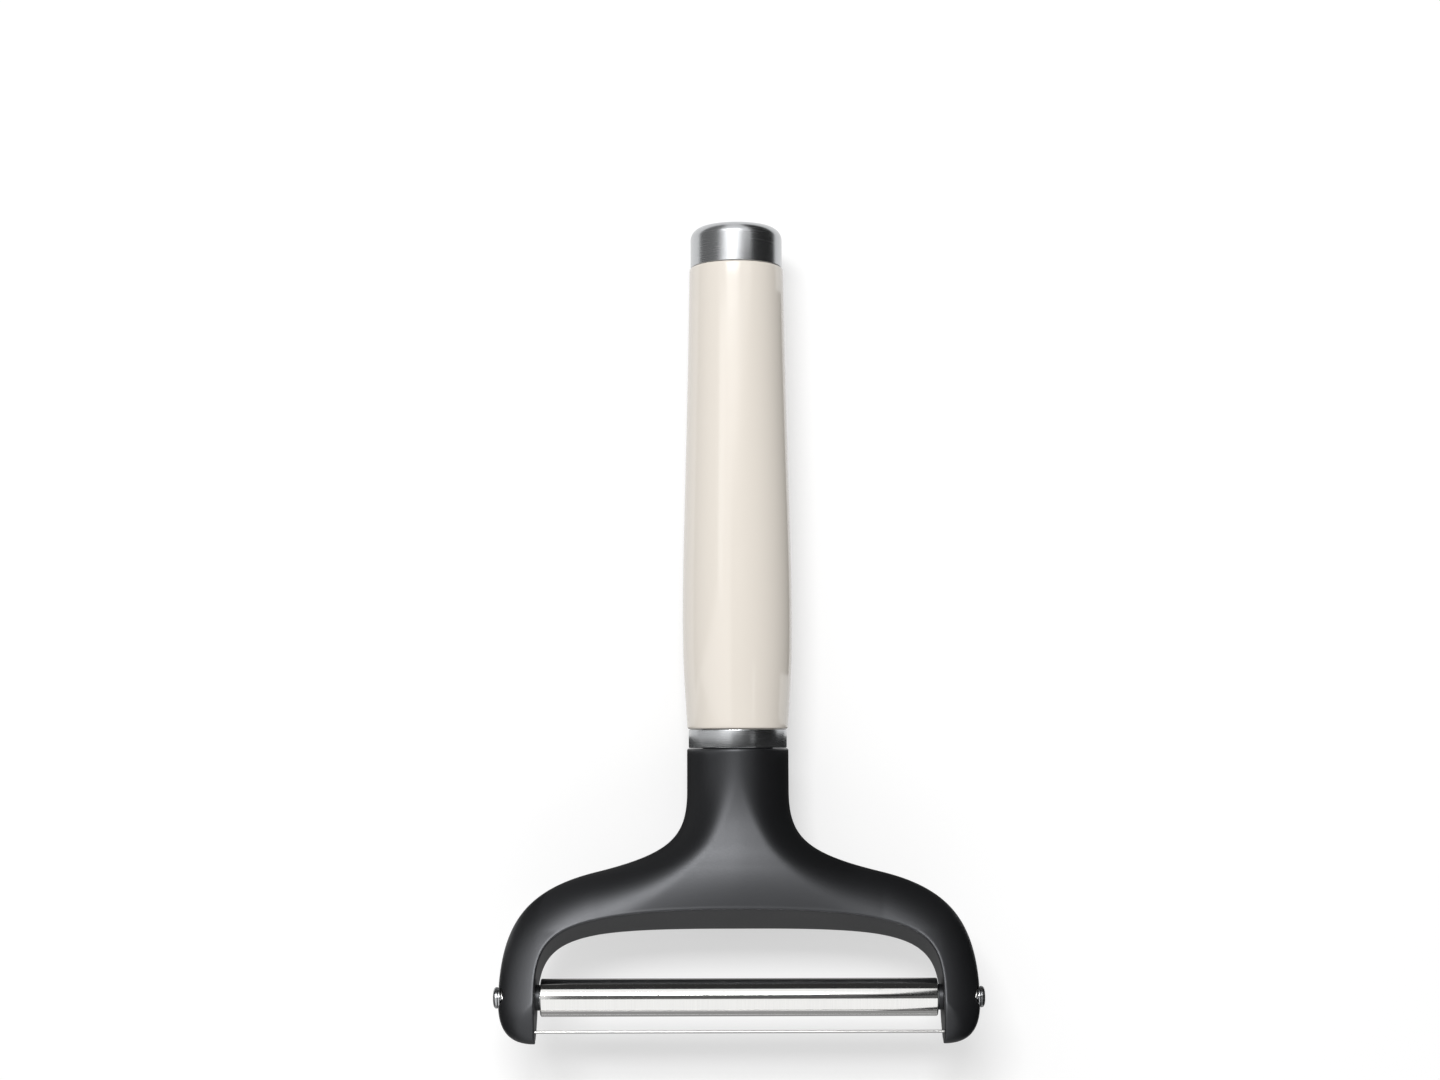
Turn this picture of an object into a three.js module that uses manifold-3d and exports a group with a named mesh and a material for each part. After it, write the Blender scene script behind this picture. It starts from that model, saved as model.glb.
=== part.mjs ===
// Wire cheese slicer with a gauge roller, lying on its back: +Y runs along the handle to its end cap,
// +X across the yoke and +Z up from the surface it lies on. The origin is the middle of the flat heel
// under the yoke's neck. Sizes are in millimetres and angles in radians.
import * as THREE from "three";
import { mergeVertices } from "three/addons/utils/BufferGeometryUtils.js";
import Module from "manifold-3d";

const wasm = await Module();
wasm.setup();

// Fits
const SEAT_GAP = 0.1; // between faces that are clamped together
const SLIP_FIT = 0.2; // radial, for pieces that slide together and stay
const RUNNING_FIT = 0.1; // radial, between the roller's bushes and the axle
const THREAD_FIT = 0.15; // radial, around a screw in its own hole
const THROUGH_FIT = 0.3; // radial, around a screw that passes through

// Handle
const SLEEVE_LENGTH = 110.5;
const SLEEVE_FOOT_RADIUS = 11.95;
const SLEEVE_BELLY_RADIUS = 13;
const SLEEVE_BELLY_HEIGHT = 27.5; // above the foot
const SLEEVE_TOP_RADIUS = 11.3;
const SLEEVE_BORE_RADIUS = 8.5;
const SLEEVE_EDGE_RADIUS = 0.5;
const WEB_DEPTH = 18; // top of the sleeve's inner web, below the sleeve's mouth
const WEB_THICKNESS = 3;
const COLLAR_HEIGHT = 4.4;
const COLLAR_INSET = 0.4; // collar radius below the neck's
const CAP_HEIGHT = 9.7;
const CAP_RADIUS = 11;
const CAP_CORNER_RADIUS = 2.8;
const CAP_WALL = 0.7;
const PLUG_DEPTH = 8; // of the plug's spigot in the sleeve
const PLUG_WALL = 2;

// Screw that draws the sleeve onto the tang
const SLEEVE_SCREW_RADIUS = 2;
const SLEEVE_SCREW_LENGTH = 22;
const SLEEVE_SCREW_HEAD_RADIUS = 3.75;
const SLEEVE_SCREW_HEAD_HEIGHT = 2.6;
const SLEEVE_WASHER_RADIUS = 5.5;
const SLEEVE_WASHER_THICKNESS = 1;

// Tang inside the sleeve
const SPIGOT_DEPTH = 12; // of the full round spigot inside the sleeve
const TANG_CORE_RADIUS = 4.5;
const TANG_RIB_THICKNESS = 2.4;
const TANG_GAP = 0.6; // left below the web, so that the screw clamps the collar
const PILOT_RESERVE = 2; // of the pilot hole beyond the screw's tip

// Yoke: s is measured down the middle of the neck and head, from the middle of their bend
const NECK_RADIUS = 12;
const NECK_END_S = -16;
const HEEL_S = -5; // middle of the heel
const HEEL_LENGTH = 23;
const HEEL_CUT = 2.8; // how far the rounded heel is cut back to its flat
const BEND_LENGTH = 30;
const HEAD_TILT = THREE.MathUtils.degToRad(20);
const FLARE_START_S = -6;
const FLARE_PULL = 0.8;
const SHOULDER_X = 33;
const SHOULDER_S = 13.3;
const SHOULDER_SLOPE = 0.25;
const SHOULDER_PULL = 0.72;
const ARM_OUTER_X = 55;
const ARM_WIDTH = 8.7;
const ARM_PULL = 0.75;
const ARM_HALF_DEPTH = 5.9; // at the crown, which lies inside the arm's inner side
const ARM_ROUNDING = 12.8; // from the rim to the crown
const ARCH_S = 24.6; // middle of the arch's inner face
const ARCH_CROWN_PULL = 0.9;
const ARCH_SIDE_PULL = 0.79;
const TIP_PULL = 0.7;
const EDGE_ROUNDING = 9.2; // how far the front and back curve in from the rim at the bend
const SIDE_ROUNDING = 20; // how far they curve in towards the shoulders
const ROUNDING_FROM_S = -10; // where the neck's roundness starts to go over to the head's
const ROUNDING_TO_S = 9;
const BEND_EASE = 0.5; // half depth lost round the bend
const BEND_EASE_FROM_S = -16;
const BEND_EASE_TO_S = 6;
const CROWN_FALL = 3.2; // half depth lost from the bend to the middle of the arch
const CROWN_FALL_FROM_S = 9;
const CROWN_FALL_TO_S = 29;
const ARM_POWER = 1.6; // of x, by which the middle's depth goes over to the arms'

// Roller, axle and wire
const ROLLER_S = 42.8;
const ROLLER_RADIUS = 4.3;
const ROLLER_WALL = 0.5;
const ROLLER_END_RADIUS = 0.3;
const BUSH_LENGTH = 8;
const AXLE_RADIUS = 2.5;
const BOSS_RADIUS = 2.9;
const BOSS_HEIGHT = 0.8;
const ROLLER_END_PLAY = 0.3;
const SLICE_GAP = 3.7; // between the roller and the wire
const WIRE_RADIUS = 0.33;
const WIRE_BEND_RADIUS = 1.2;
const WIRE_BEND_INSET = 3.4; // of the wire's bend, from the arm's outer side
const WIRE_TO_TIP = 2.3;
const WIRE_LOOP_TURN = THREE.MathUtils.degToRad(270);
const AXLE_SCREW_RADIUS = 1.25;
const AXLE_SCREW_LENGTH = 16;
const AXLE_SCREW_HEAD_RADIUS = 2.4;
const AXLE_SCREW_HEAD_HEIGHT = 1.15;
const AXLE_THREAD_DEPTH = 8;
const WIRE_WASHER_RADIUS = 2.5;
const WIRE_WASHER_THICKNESS = 0.4;
const COUNTERBORE_DEPTH = 1.4;

// Facets
const HANDLE_SEGMENTS = 36;
const ROLLER_SEGMENTS = 28;
const SMALL_SEGMENTS = 20;
const PROFILE_STEPS = 5; // along each curve of a long turned profile
const CORNER_STEPS = 3; // along each rounded corner
const WIRE_BEND_STEPS = 7;
const WIRE_SIDES = 8;
const CENTRE_COLUMNS = 6; // of the yoke's skin, from its middle to its shoulder
const SHOULDER_COLUMNS = 9;
const TIP_COLUMNS = 7;
const DEPTH_ROWS = 7;
const NECK_ROWS = 5;
const FLARE_ROWS = 7;
const RIM_REFINEMENT = 8; // rim samples for each column or row

// Places that follow from the sizes above
const handleZ = SLEEVE_BELLY_RADIUS;
const bendRadius = BEND_LENGTH / HEAD_TILT;
const bendStartS = -BEND_LENGTH / 2;
const bendStartY = HEEL_S - bendStartS;
const neckEndY = HEEL_S - NECK_END_S;
const collarY = neckEndY + SEAT_GAP;
const sleeveY = collarY + COLLAR_HEIGHT + SEAT_GAP;
const sleeveTopY = sleeveY + SLEEVE_LENGTH;
const webTopY = sleeveTopY - WEB_DEPTH;
const tangTopY = webTopY - WEB_THICKNESS - TANG_GAP;
const sleeveWasherY = webTopY + SEAT_GAP;
const sleeveScrewY = sleeveWasherY + SLEEVE_WASHER_THICKNESS + SEAT_GAP;
const capY = sleeveTopY + SEAT_GAP;
const spigotRadius = SLEEVE_BORE_RADIUS - SLIP_FIT;
const armInnerX = ARM_OUTER_X - ARM_WIDTH;
const armS = ROLLER_S;
const wireS = ROLLER_S + ROLLER_RADIUS + SLICE_GAP + WIRE_RADIUS;
const tipS = wireS + WIRE_TO_TIP;
const bossFaceX = armInnerX - BOSS_HEIGHT;
const rollerHalf = bossFaceX - ROLLER_END_PLAY;
const tubeBoreRadius = ROLLER_RADIUS - ROLLER_WALL;
const wireGrooveHalf = WIRE_RADIUS + SLIP_FIT;
const wireLoopRadius = AXLE_SCREW_RADIUS + THREAD_FIT + WIRE_RADIUS;
const counterboreX = ARM_OUTER_X - COUNTERBORE_DEPTH;
const wireLoopX = counterboreX + SEAT_GAP + WIRE_RADIUS;
const wireWasherX = wireLoopX + WIRE_RADIUS + SEAT_GAP;
const screwSeatX = wireWasherX + WIRE_WASHER_THICKNESS + SEAT_GAP;

const nylon = { color: 0x1d1e20, roughness: 0.5, metalness: 0 };
const cream = { color: 0xe9dfd0, roughness: 0.25, metalness: 0 };
const satinSteel = { color: 0xb9bcc0, roughness: 0.35, metalness: 1 };
const brightSteel = { color: 0xd5d6d6, roughness: 0.12, metalness: 1 };
const innerPlastic = { color: 0x8a8c8e, roughness: 0.6, metalness: 0 };

function named(name, geometry, finish) {
  const mesh = new THREE.Mesh(geometry, new THREE.MeshStandardMaterial(finish));
  mesh.name = name;
  return mesh;
}

// A solid of revolution about Y. The path goes round the section anticlockwise in (radius, height).
function turned(path, segments, steps = CORNER_STEPS) {
  return new THREE.LatheGeometry(path.getPoints(steps), segments);
}

// A ring's section: a rectangle between two radii.
function ringPath(innerRadius, outerRadius, height) {
  const path = new THREE.Path();
  path.moveTo(innerRadius, 0);
  path.lineTo(outerRadius, 0);
  path.lineTo(outerRadius, height);
  path.lineTo(innerRadius, height);
  path.lineTo(innerRadius, 0);
  return path;
}

// A closed geometry as a solid that can be joined and cut.
function solid(geometry) {
  const bare = geometry.clone();
  bare.deleteAttribute("normal");
  bare.deleteAttribute("uv");
  const merged = mergeVertices(bare, 1e-4);
  const index = merged.index.array;
  const corners = [];
  for (let i = 0; i < index.length; i += 3) {
    const [a, b, c] = [index[i], index[i + 1], index[i + 2]];
    if (a !== b && b !== c && c !== a) corners.push(a, b, c);
  }
  const vertProperties = merged.attributes.position.array;
  const triVerts = new Uint32Array(corners);
  return new wasm.Manifold(new wasm.Mesh({ numProp: 3, vertProperties, triVerts }));
}

function geometryOf(body) {
  const mesh = body.getMesh();
  const geometry = new THREE.BufferGeometry();
  geometry.setAttribute("position", new THREE.BufferAttribute(mesh.vertProperties, 3));
  geometry.setIndex(new THREE.BufferAttribute(mesh.triVerts, 1));
  return geometry;
}

// A round bar along X from x0 to x1.
function barAlongX(radius, x0, x1, segments = SMALL_SEGMENTS) {
  const bar = new THREE.CylinderGeometry(radius, radius, x1 - x0, segments);
  bar.rotateZ(-Math.PI / 2);
  return bar.translate((x0 + x1) / 2, 0, 0);
}

// A round bar along Y from y0 to y1, on the handle's axis.
function barOnHandle(radius, y0, y1, segments = SMALL_SEGMENTS) {
  const bar = new THREE.CylinderGeometry(radius, radius, y1 - y0, segments);
  return bar.translate(0, (y0 + y1) / 2, handleZ);
}

// Adds the two triangles of every cell of a grid of points.
function addPatch(corners, grid, flip) {
  for (let i = 1; i < grid.length; i++) {
    for (let j = 1; j < grid[i].length; j++) {
      const [a, b, c, d] = [grid[i - 1][j - 1], grid[i][j - 1], grid[i][j], grid[i - 1][j]];
      corners.push(...(flip ? [a, c, b, a, d, c] : [a, b, c, a, c, d]));
    }
  }
}

// A round tube with closed ends along a list of points, its section carried along without twist.
function tubeAlong(points, radius, sides) {
  const rings = [];
  let across = new THREE.Vector3(1, 0, 0);
  points.forEach((point, i) => {
    const before = points[Math.max(i - 1, 0)];
    const after = points[Math.min(i + 1, points.length - 1)];
    const along = after.clone().sub(before).normalize();
    across = across.clone().addScaledVector(along, -across.dot(along)).normalize();
    const beside = along.clone().cross(across);
    const ring = [];
    for (let k = 0; k <= sides; k++) {
      const angle = ((k % sides) / sides) * 2 * Math.PI;
      const spoke = across.clone().multiplyScalar(Math.cos(angle)).addScaledVector(beside, Math.sin(angle));
      ring.push(point.clone().addScaledVector(spoke, radius));
    }
    rings.push(ring);
  });
  const first = rings[0].map(() => points[0]);
  const last = rings[0].map(() => points[points.length - 1]);
  const corners = [];
  addPatch(corners, [first, ...rings, last], true);
  return new THREE.BufferGeometry().setFromPoints(corners);
}

// Handle sleeve: foot, belly and mouth outside, a straight bore with a web across it inside.
function sleeveGeometry() {
  const webTop = SLEEVE_LENGTH - WEB_DEPTH;
  const webHole = SLEEVE_SCREW_RADIUS + THROUGH_FIT;
  const edge = SLEEVE_EDGE_RADIUS;
  const path = new THREE.Path();
  path.moveTo(SLEEVE_BORE_RADIUS, 0);
  path.lineTo(SLEEVE_FOOT_RADIUS - edge, 0);
  path.quadraticCurveTo(SLEEVE_FOOT_RADIUS, 0, SLEEVE_FOOT_RADIUS, edge);
  path.bezierCurveTo(
    SLEEVE_FOOT_RADIUS + (SLEEVE_BELLY_RADIUS - SLEEVE_FOOT_RADIUS) / 2,
    SLEEVE_BELLY_HEIGHT / 3,
    SLEEVE_BELLY_RADIUS,
    SLEEVE_BELLY_HEIGHT / 2,
    SLEEVE_BELLY_RADIUS,
    SLEEVE_BELLY_HEIGHT,
  );
  path.bezierCurveTo(
    SLEEVE_BELLY_RADIUS,
    SLEEVE_BELLY_HEIGHT + (SLEEVE_LENGTH - SLEEVE_BELLY_HEIGHT) / 5,
    SLEEVE_TOP_RADIUS + (SLEEVE_BELLY_RADIUS - SLEEVE_TOP_RADIUS) / 3,
    SLEEVE_LENGTH - (SLEEVE_LENGTH - SLEEVE_BELLY_HEIGHT) / 2,
    SLEEVE_TOP_RADIUS,
    SLEEVE_LENGTH - edge,
  );
  path.quadraticCurveTo(SLEEVE_TOP_RADIUS, SLEEVE_LENGTH, SLEEVE_TOP_RADIUS - edge, SLEEVE_LENGTH);
  path.lineTo(SLEEVE_BORE_RADIUS, SLEEVE_LENGTH);
  path.lineTo(SLEEVE_BORE_RADIUS, webTop);
  path.lineTo(webHole, webTop);
  path.lineTo(webHole, webTop - WEB_THICKNESS);
  path.lineTo(SLEEVE_BORE_RADIUS, webTop - WEB_THICKNESS);
  path.lineTo(SLEEVE_BORE_RADIUS, 0);
  return turned(path, HANDLE_SEGMENTS, PROFILE_STEPS);
}

// End cap: a drawn cup, open towards the sleeve.
function capGeometry() {
  const innerCorner = CAP_CORNER_RADIUS - CAP_WALL;
  const cornerX = CAP_RADIUS - CAP_CORNER_RADIUS;
  const cornerY = CAP_HEIGHT - CAP_CORNER_RADIUS;
  const path = new THREE.Path();
  path.moveTo(CAP_RADIUS - CAP_WALL, 0);
  path.lineTo(CAP_RADIUS, 0);
  path.absarc(cornerX, cornerY, CAP_CORNER_RADIUS, 0, Math.PI / 2, false);
  path.lineTo(0, CAP_HEIGHT);
  path.lineTo(0, CAP_HEIGHT - CAP_WALL);
  path.absarc(cornerX, cornerY, innerCorner, Math.PI / 2, 0, true);
  path.lineTo(CAP_RADIUS - CAP_WALL, 0);
  return turned(path, HANDLE_SEGMENTS);
}

// Cap plug: a hollow spigot in the sleeve's mouth under a head that fills the cap.
function plugGeometry() {
  const headRadius = CAP_RADIUS - CAP_WALL - SLIP_FIT;
  const headTop = CAP_HEIGHT - CAP_WALL - SLIP_FIT;
  const headCorner = CAP_CORNER_RADIUS - CAP_WALL;
  const path = new THREE.Path();
  path.moveTo(spigotRadius - PLUG_WALL, -PLUG_DEPTH);
  path.lineTo(spigotRadius, -PLUG_DEPTH);
  path.lineTo(spigotRadius, 0);
  path.lineTo(headRadius, 0);
  path.absarc(headRadius - headCorner, headTop - headCorner, headCorner, 0, Math.PI / 2, false);
  path.lineTo(0, headTop);
  path.lineTo(0, headTop - PLUG_WALL);
  path.lineTo(spigotRadius - PLUG_WALL, headTop - PLUG_WALL);
  path.lineTo(spigotRadius - PLUG_WALL, -PLUG_DEPTH);
  return turned(path, HANDLE_SEGMENTS);
}

// A pan head screw along Y with its head's seat at 0 and its shank below, cross recess in the head.
function screwGeometry(shankRadius, length, headRadius, headHeight) {
  const rim = headHeight / 3;
  const path = new THREE.Path();
  path.moveTo(0, -length);
  path.lineTo(shankRadius * 0.6, -length);
  path.lineTo(shankRadius, -length + shankRadius);
  path.lineTo(shankRadius, 0);
  path.lineTo(headRadius, 0);
  path.lineTo(headRadius, rim);
  path.quadraticCurveTo(headRadius * 0.9, headHeight, headRadius * 0.4, headHeight);
  path.lineTo(0, headHeight);
  let body = solid(turned(path, SMALL_SEGMENTS));
  const slotLength = headRadius * 1.1;
  const slotWidth = headRadius * 0.22;
  for (const turn of [0, Math.PI / 2]) {
    const slot = new THREE.BoxGeometry(slotLength, headHeight, slotWidth);
    slot.rotateY(turn).translate(0, headHeight, 0);
    body = body.subtract(solid(slot));
  }
  return geometryOf(body);
}

// Roller tube along Y, with its ends turned in to a small radius.
function tubeGeometry() {
  const end = ROLLER_END_RADIUS;
  const path = new THREE.Path();
  path.moveTo(tubeBoreRadius, -rollerHalf);
  path.lineTo(ROLLER_RADIUS - end, -rollerHalf);
  path.quadraticCurveTo(ROLLER_RADIUS, -rollerHalf, ROLLER_RADIUS, -rollerHalf + end);
  path.lineTo(ROLLER_RADIUS, rollerHalf - end);
  path.quadraticCurveTo(ROLLER_RADIUS, rollerHalf, ROLLER_RADIUS - end, rollerHalf);
  path.lineTo(tubeBoreRadius, rollerHalf);
  path.lineTo(tubeBoreRadius, -rollerHalf);
  return turned(path, ROLLER_SEGMENTS);
}

// Axle rod along Y, with a threaded hole in each end.
function axleGeometry() {
  const half = bossFaceX - SEAT_GAP;
  const hole = AXLE_SCREW_RADIUS + THREAD_FIT;
  const path = new THREE.Path();
  path.moveTo(0, -half + AXLE_THREAD_DEPTH);
  path.lineTo(hole, -half + AXLE_THREAD_DEPTH);
  path.lineTo(hole, -half);
  path.lineTo(AXLE_RADIUS, -half);
  path.lineTo(AXLE_RADIUS, half);
  path.lineTo(hole, half);
  path.lineTo(hole, half - AXLE_THREAD_DEPTH);
  path.lineTo(0, half - AXLE_THREAD_DEPTH);
  return turned(path, SMALL_SEGMENTS);
}

// The head's straight frame: x across, y up towards the neck (minus s) and z out of the front.
const head = new THREE.Group();
const bendEndY = bendStartY - bendRadius * Math.sin(HEAD_TILT);
const bendEndZ = handleZ + bendRadius * (1 - Math.cos(HEAD_TILT));
head.rotation.x = -HEAD_TILT;
head.position.set(
  0,
  bendEndY + (BEND_LENGTH / 2) * Math.cos(HEAD_TILT),
  bendEndZ - (BEND_LENGTH / 2) * Math.sin(HEAD_TILT),
);
head.updateMatrixWorld(true);

// A point x across, s down the bent middle line and n out of the front, in the part's frame.
function onYoke(x, s, n) {
  if (s >= -bendStartS) return new THREE.Vector3(x, -s, n).applyMatrix4(head.matrixWorld);
  const angle = (Math.max(s, bendStartS) - bendStartS) / bendRadius;
  const straight = Math.min(s, bendStartS) - bendStartS;
  const y = bendStartY - straight - bendRadius * Math.sin(angle);
  const z = handleZ + bendRadius * (1 - Math.cos(angle));
  return new THREE.Vector3(x, y + n * Math.sin(angle), z + n * Math.cos(angle));
}

// A curve between two points that leaves each of them towards a common corner.
function cornerCurve(start, corner, end, startPull, endPull) {
  const first = start.clone().lerp(corner, startPull);
  const second = end.clone().lerp(corner, endPull);
  return new THREE.CubicBezierCurve(start, first, second, end);
}

// Right half of the head's outline, as (x, s).
const neckEnd = new THREE.Vector2(NECK_RADIUS, NECK_END_S);
const flareStart = new THREE.Vector2(NECK_RADIUS, FLARE_START_S);
const flareCornerS = SHOULDER_S - (SHOULDER_X - NECK_RADIUS) * SHOULDER_SLOPE;
const flareCorner = new THREE.Vector2(NECK_RADIUS, flareCornerS);
const shoulder = new THREE.Vector2(SHOULDER_X, SHOULDER_S);
const armCornerS = SHOULDER_S + (ARM_OUTER_X - SHOULDER_X) * SHOULDER_SLOPE;
const armCorner = new THREE.Vector2(ARM_OUTER_X, armCornerS);
const armOuter = new THREE.Vector2(ARM_OUTER_X, armS);
const tipCorner = new THREE.Vector2(ARM_OUTER_X, tipS);
const tipInner = new THREE.Vector2(armInnerX, tipS);
const archCrown = new THREE.Vector2(0, ARCH_S);
const archCorner = new THREE.Vector2(armInnerX, ARCH_S);
const armInner = new THREE.Vector2(armInnerX, armS);
const flareCurve = cornerCurve(flareStart, flareCorner, shoulder, FLARE_PULL, FLARE_PULL);
const shoulderCurve = cornerCurve(shoulder, armCorner, armOuter, SHOULDER_PULL, ARM_PULL);
const tipCurve = cornerCurve(armOuter, tipCorner, tipInner, TIP_PULL, TIP_PULL);
const archCurve = cornerCurve(archCrown, archCorner, armInner, ARCH_CROWN_PULL, ARCH_SIDE_PULL);
const rim = [
  neckEnd,
  ...flareCurve.getPoints(FLARE_ROWS * RIM_REFINEMENT),
  ...shoulderCurve.getPoints(SHOULDER_COLUMNS * RIM_REFINEMENT),
  ...tipCurve.getPoints(TIP_COLUMNS * RIM_REFINEMENT),
];

// Distance from a point of the head's plane to the nearer half of its rim.
function rimDistance(point) {
  const near = new THREE.Vector2(Math.abs(point.x), point.y);
  let least = Infinity;
  for (let i = 1; i < rim.length; i++) {
    const side = rim[i].clone().sub(rim[i - 1]);
    const lengthSquared = side.lengthSq();
    if (lengthSquared === 0) continue;
    const share = THREE.MathUtils.clamp(near.clone().sub(rim[i - 1]).dot(side) / lengthSquared, 0, 1);
    least = Math.min(least, near.distanceTo(rim[i - 1].clone().addScaledVector(side, share)));
  }
  return least;
}

// Half the yoke's depth at a point of its plane: a quarter ellipse in from the rim, up to a crown that is
// as deep as the neck, falls away from the bend towards the arch, and goes over to the arms' own depth.
function halfDepth(point) {
  const { clamp, lerp, smoothstep } = THREE.MathUtils;
  const toArm = Math.min(Math.abs(point.x) / armInnerX, 1) ** ARM_POWER;
  const toSide = Math.min(Math.abs(point.x) / SHOULDER_X, 1) ** 2;
  const toHead = smoothstep(point.y, ROUNDING_FROM_S, ROUNDING_TO_S);
  const headRounding = lerp(EDGE_ROUNDING, SIDE_ROUNDING, toSide);
  const rounding = lerp(lerp(NECK_RADIUS, headRounding, toHead), ARM_ROUNDING, toArm);
  const bendEase = BEND_EASE * smoothstep(point.y, BEND_EASE_FROM_S, BEND_EASE_TO_S);
  const pastBend = clamp(point.y, CROWN_FALL_FROM_S, CROWN_FALL_TO_S) - CROWN_FALL_FROM_S;
  const fall = CROWN_FALL * (pastBend / (ARCH_S - CROWN_FALL_FROM_S)) ** 2;
  const crown = lerp(NECK_RADIUS - bendEase - fall, ARM_HALF_DEPTH, toArm);
  const inset = 1 - Math.min(rimDistance(point) / rounding, 1);
  return crown * Math.sqrt(Math.max(0, 1 - inset * inset));
}

// The back is deeper under the neck, where the heel is cut flat.
function heelScale(s) {
  const reach = THREE.MathUtils.clamp((s - HEEL_S) / (HEEL_LENGTH / 2), -1, 1);
  const drop = handleZ - NECK_RADIUS + HEEL_CUT;
  return 1 + (drop / NECK_RADIUS) * Math.cos((reach * Math.PI) / 2) ** 2;
}

// The arch's inner edge at a given x, by halving the interval on its curve.
function archParameter(x) {
  let low = 0;
  let high = 1;
  for (let i = 0; i < 40; i++) {
    const middle = (low + high) / 2;
    if (archCurve.getPoint(middle).x < x) low = middle;
    else high = middle;
  }
  return low;
}

// Columns of the right half's skin, from the middle to the arm's tip: where each starts, on the rim or on
// the line between the shoulders, and where it ends on the inner edge.
function skinColumns() {
  const columns = [];
  for (let j = 0; j <= CENTRE_COLUMNS; j++) {
    const x = SHOULDER_X * Math.sin(((j / CENTRE_COLUMNS) * Math.PI) / 2);
    columns.push({ outer: new THREE.Vector2(x, SHOULDER_S), inner: archCurve.getPoint(archParameter(x)) });
  }
  const shoulderParameter = archParameter(SHOULDER_X);
  for (let j = 1; j <= SHOULDER_COLUMNS; j++) {
    const u = j / SHOULDER_COLUMNS;
    const inner = archCurve.getPoint(shoulderParameter + (1 - shoulderParameter) * u);
    columns.push({ outer: shoulderCurve.getPoint(u), inner });
  }
  for (let j = 1; j <= TIP_COLUMNS; j++) {
    const u = j / TIP_COLUMNS;
    columns.push({ outer: tipCurve.getPoint(u), inner: armInner.clone().lerp(tipInner, u) });
  }
  return columns;
}

// The yoke's closed skin: front and back over the neck and the head, the inner face and the neck's end.
function yokeSkin() {
  const mirrored = (p) => new THREE.Vector2(-p.x, p.y);
  const right = skinColumns();
  const left = right.slice(1).reverse();
  const columns = [...left.map((c) => ({ outer: mirrored(c.outer), inner: mirrored(c.inner) })), ...right];
  const place = (point, side) => {
    const depth = halfDepth(point);
    return onYoke(point.x, point.y, side > 0 ? depth : -depth * heelScale(point.y));
  };
  const lower = (side) =>
    columns.map(({ outer, inner }) => {
      const points = [];
      for (let k = 0; k <= DEPTH_ROWS; k++) {
        const share = 1 - Math.cos(((k / DEPTH_ROWS) * Math.PI) / 2);
        const point = outer.clone().lerp(inner, share);
        points.push(place(point, side));
      }
      return points;
    });
  const neckLine = new THREE.LineCurve(neckEnd, flareStart);
  const widths = [...neckLine.getPoints(NECK_ROWS).slice(0, -1), ...flareCurve.getPoints(FLARE_ROWS)];
  const centre = columns.slice(left.length - CENTRE_COLUMNS, left.length + CENTRE_COLUMNS + 1);
  const upper = (side) =>
    centre.map(({ outer }) => {
      const share = outer.x / SHOULDER_X;
      return widths.map((w) => place(new THREE.Vector2(w.x * share, w.y), side));
    });
  const corners = [];
  const [front, back] = [lower(1), lower(-1)];
  const [neckFront, neckBack] = [upper(1), upper(-1)];
  addPatch(corners, front, true);
  addPatch(corners, back, false);
  addPatch(corners, neckFront, true);
  addPatch(corners, neckBack, false);
  const innerEdges = columns.map((_, i) => [front[i][DEPTH_ROWS], back[i][DEPTH_ROWS]]);
  addPatch(corners, innerEdges, true);
  addPatch(corners, neckFront.map((column, i) => [column[0], neckBack[i][0]]), false);
  return new THREE.BufferGeometry().setFromPoints(corners);
}

// Tang: a round spigot through the collar, then a cored cross that ends just below the sleeve's web.
function tangSolids() {
  const spigotTopY = sleeveY + SPIGOT_DEPTH;
  const ribHeight = tangTopY - neckEndY;
  const ribY = neckEndY + ribHeight / 2;
  const ribWidth = 2 * spigotRadius * Math.cos(Math.asin(TANG_RIB_THICKNESS / 2 / spigotRadius));
  const rib = new THREE.BoxGeometry(ribWidth, ribHeight, TANG_RIB_THICKNESS);
  const spigot = barOnHandle(spigotRadius, neckEndY - NECK_RADIUS / 2, spigotTopY, HANDLE_SEGMENTS);
  return [
    solid(spigot),
    solid(barOnHandle(TANG_CORE_RADIUS, neckEndY, tangTopY)),
    solid(rib.clone().translate(0, ribY, handleZ)),
    solid(rib.clone().rotateY(Math.PI / 2).translate(0, ribY, handleZ)),
  ];
}

// Where the wire's leg runs on the right arm, from its bend near the tip to its loop, in the head's frame.
const wireBendX = ARM_OUTER_X - WIRE_BEND_INSET;
const legStart = new THREE.Vector2(wireBendX, -wireS + WIRE_BEND_RADIUS);
const legEnd = new THREE.Vector2(wireLoopX, -ROLLER_S);

// The slot in an arm's outer side that hides the wire's leg, in the head's frame.
function grooveSolid() {
  const run = legEnd.clone().sub(legStart);
  const length = run.length() + 2 * WIRE_BEND_RADIUS;
  const height = 2 * WIRE_BEND_INSET;
  const middle = legStart.clone().lerp(legEnd, 0.5);
  const outwards = new THREE.Vector2(run.y, -run.x).normalize();
  middle.addScaledVector(outwards, height / 2 - wireGrooveHalf);
  const slot = new THREE.BoxGeometry(height, length, 2 * wireGrooveHalf);
  slot.rotateZ(Math.atan2(run.y, run.x) - Math.PI / 2);
  return slot.translate(middle.x, middle.y, wireLoopRadius);
}

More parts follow.
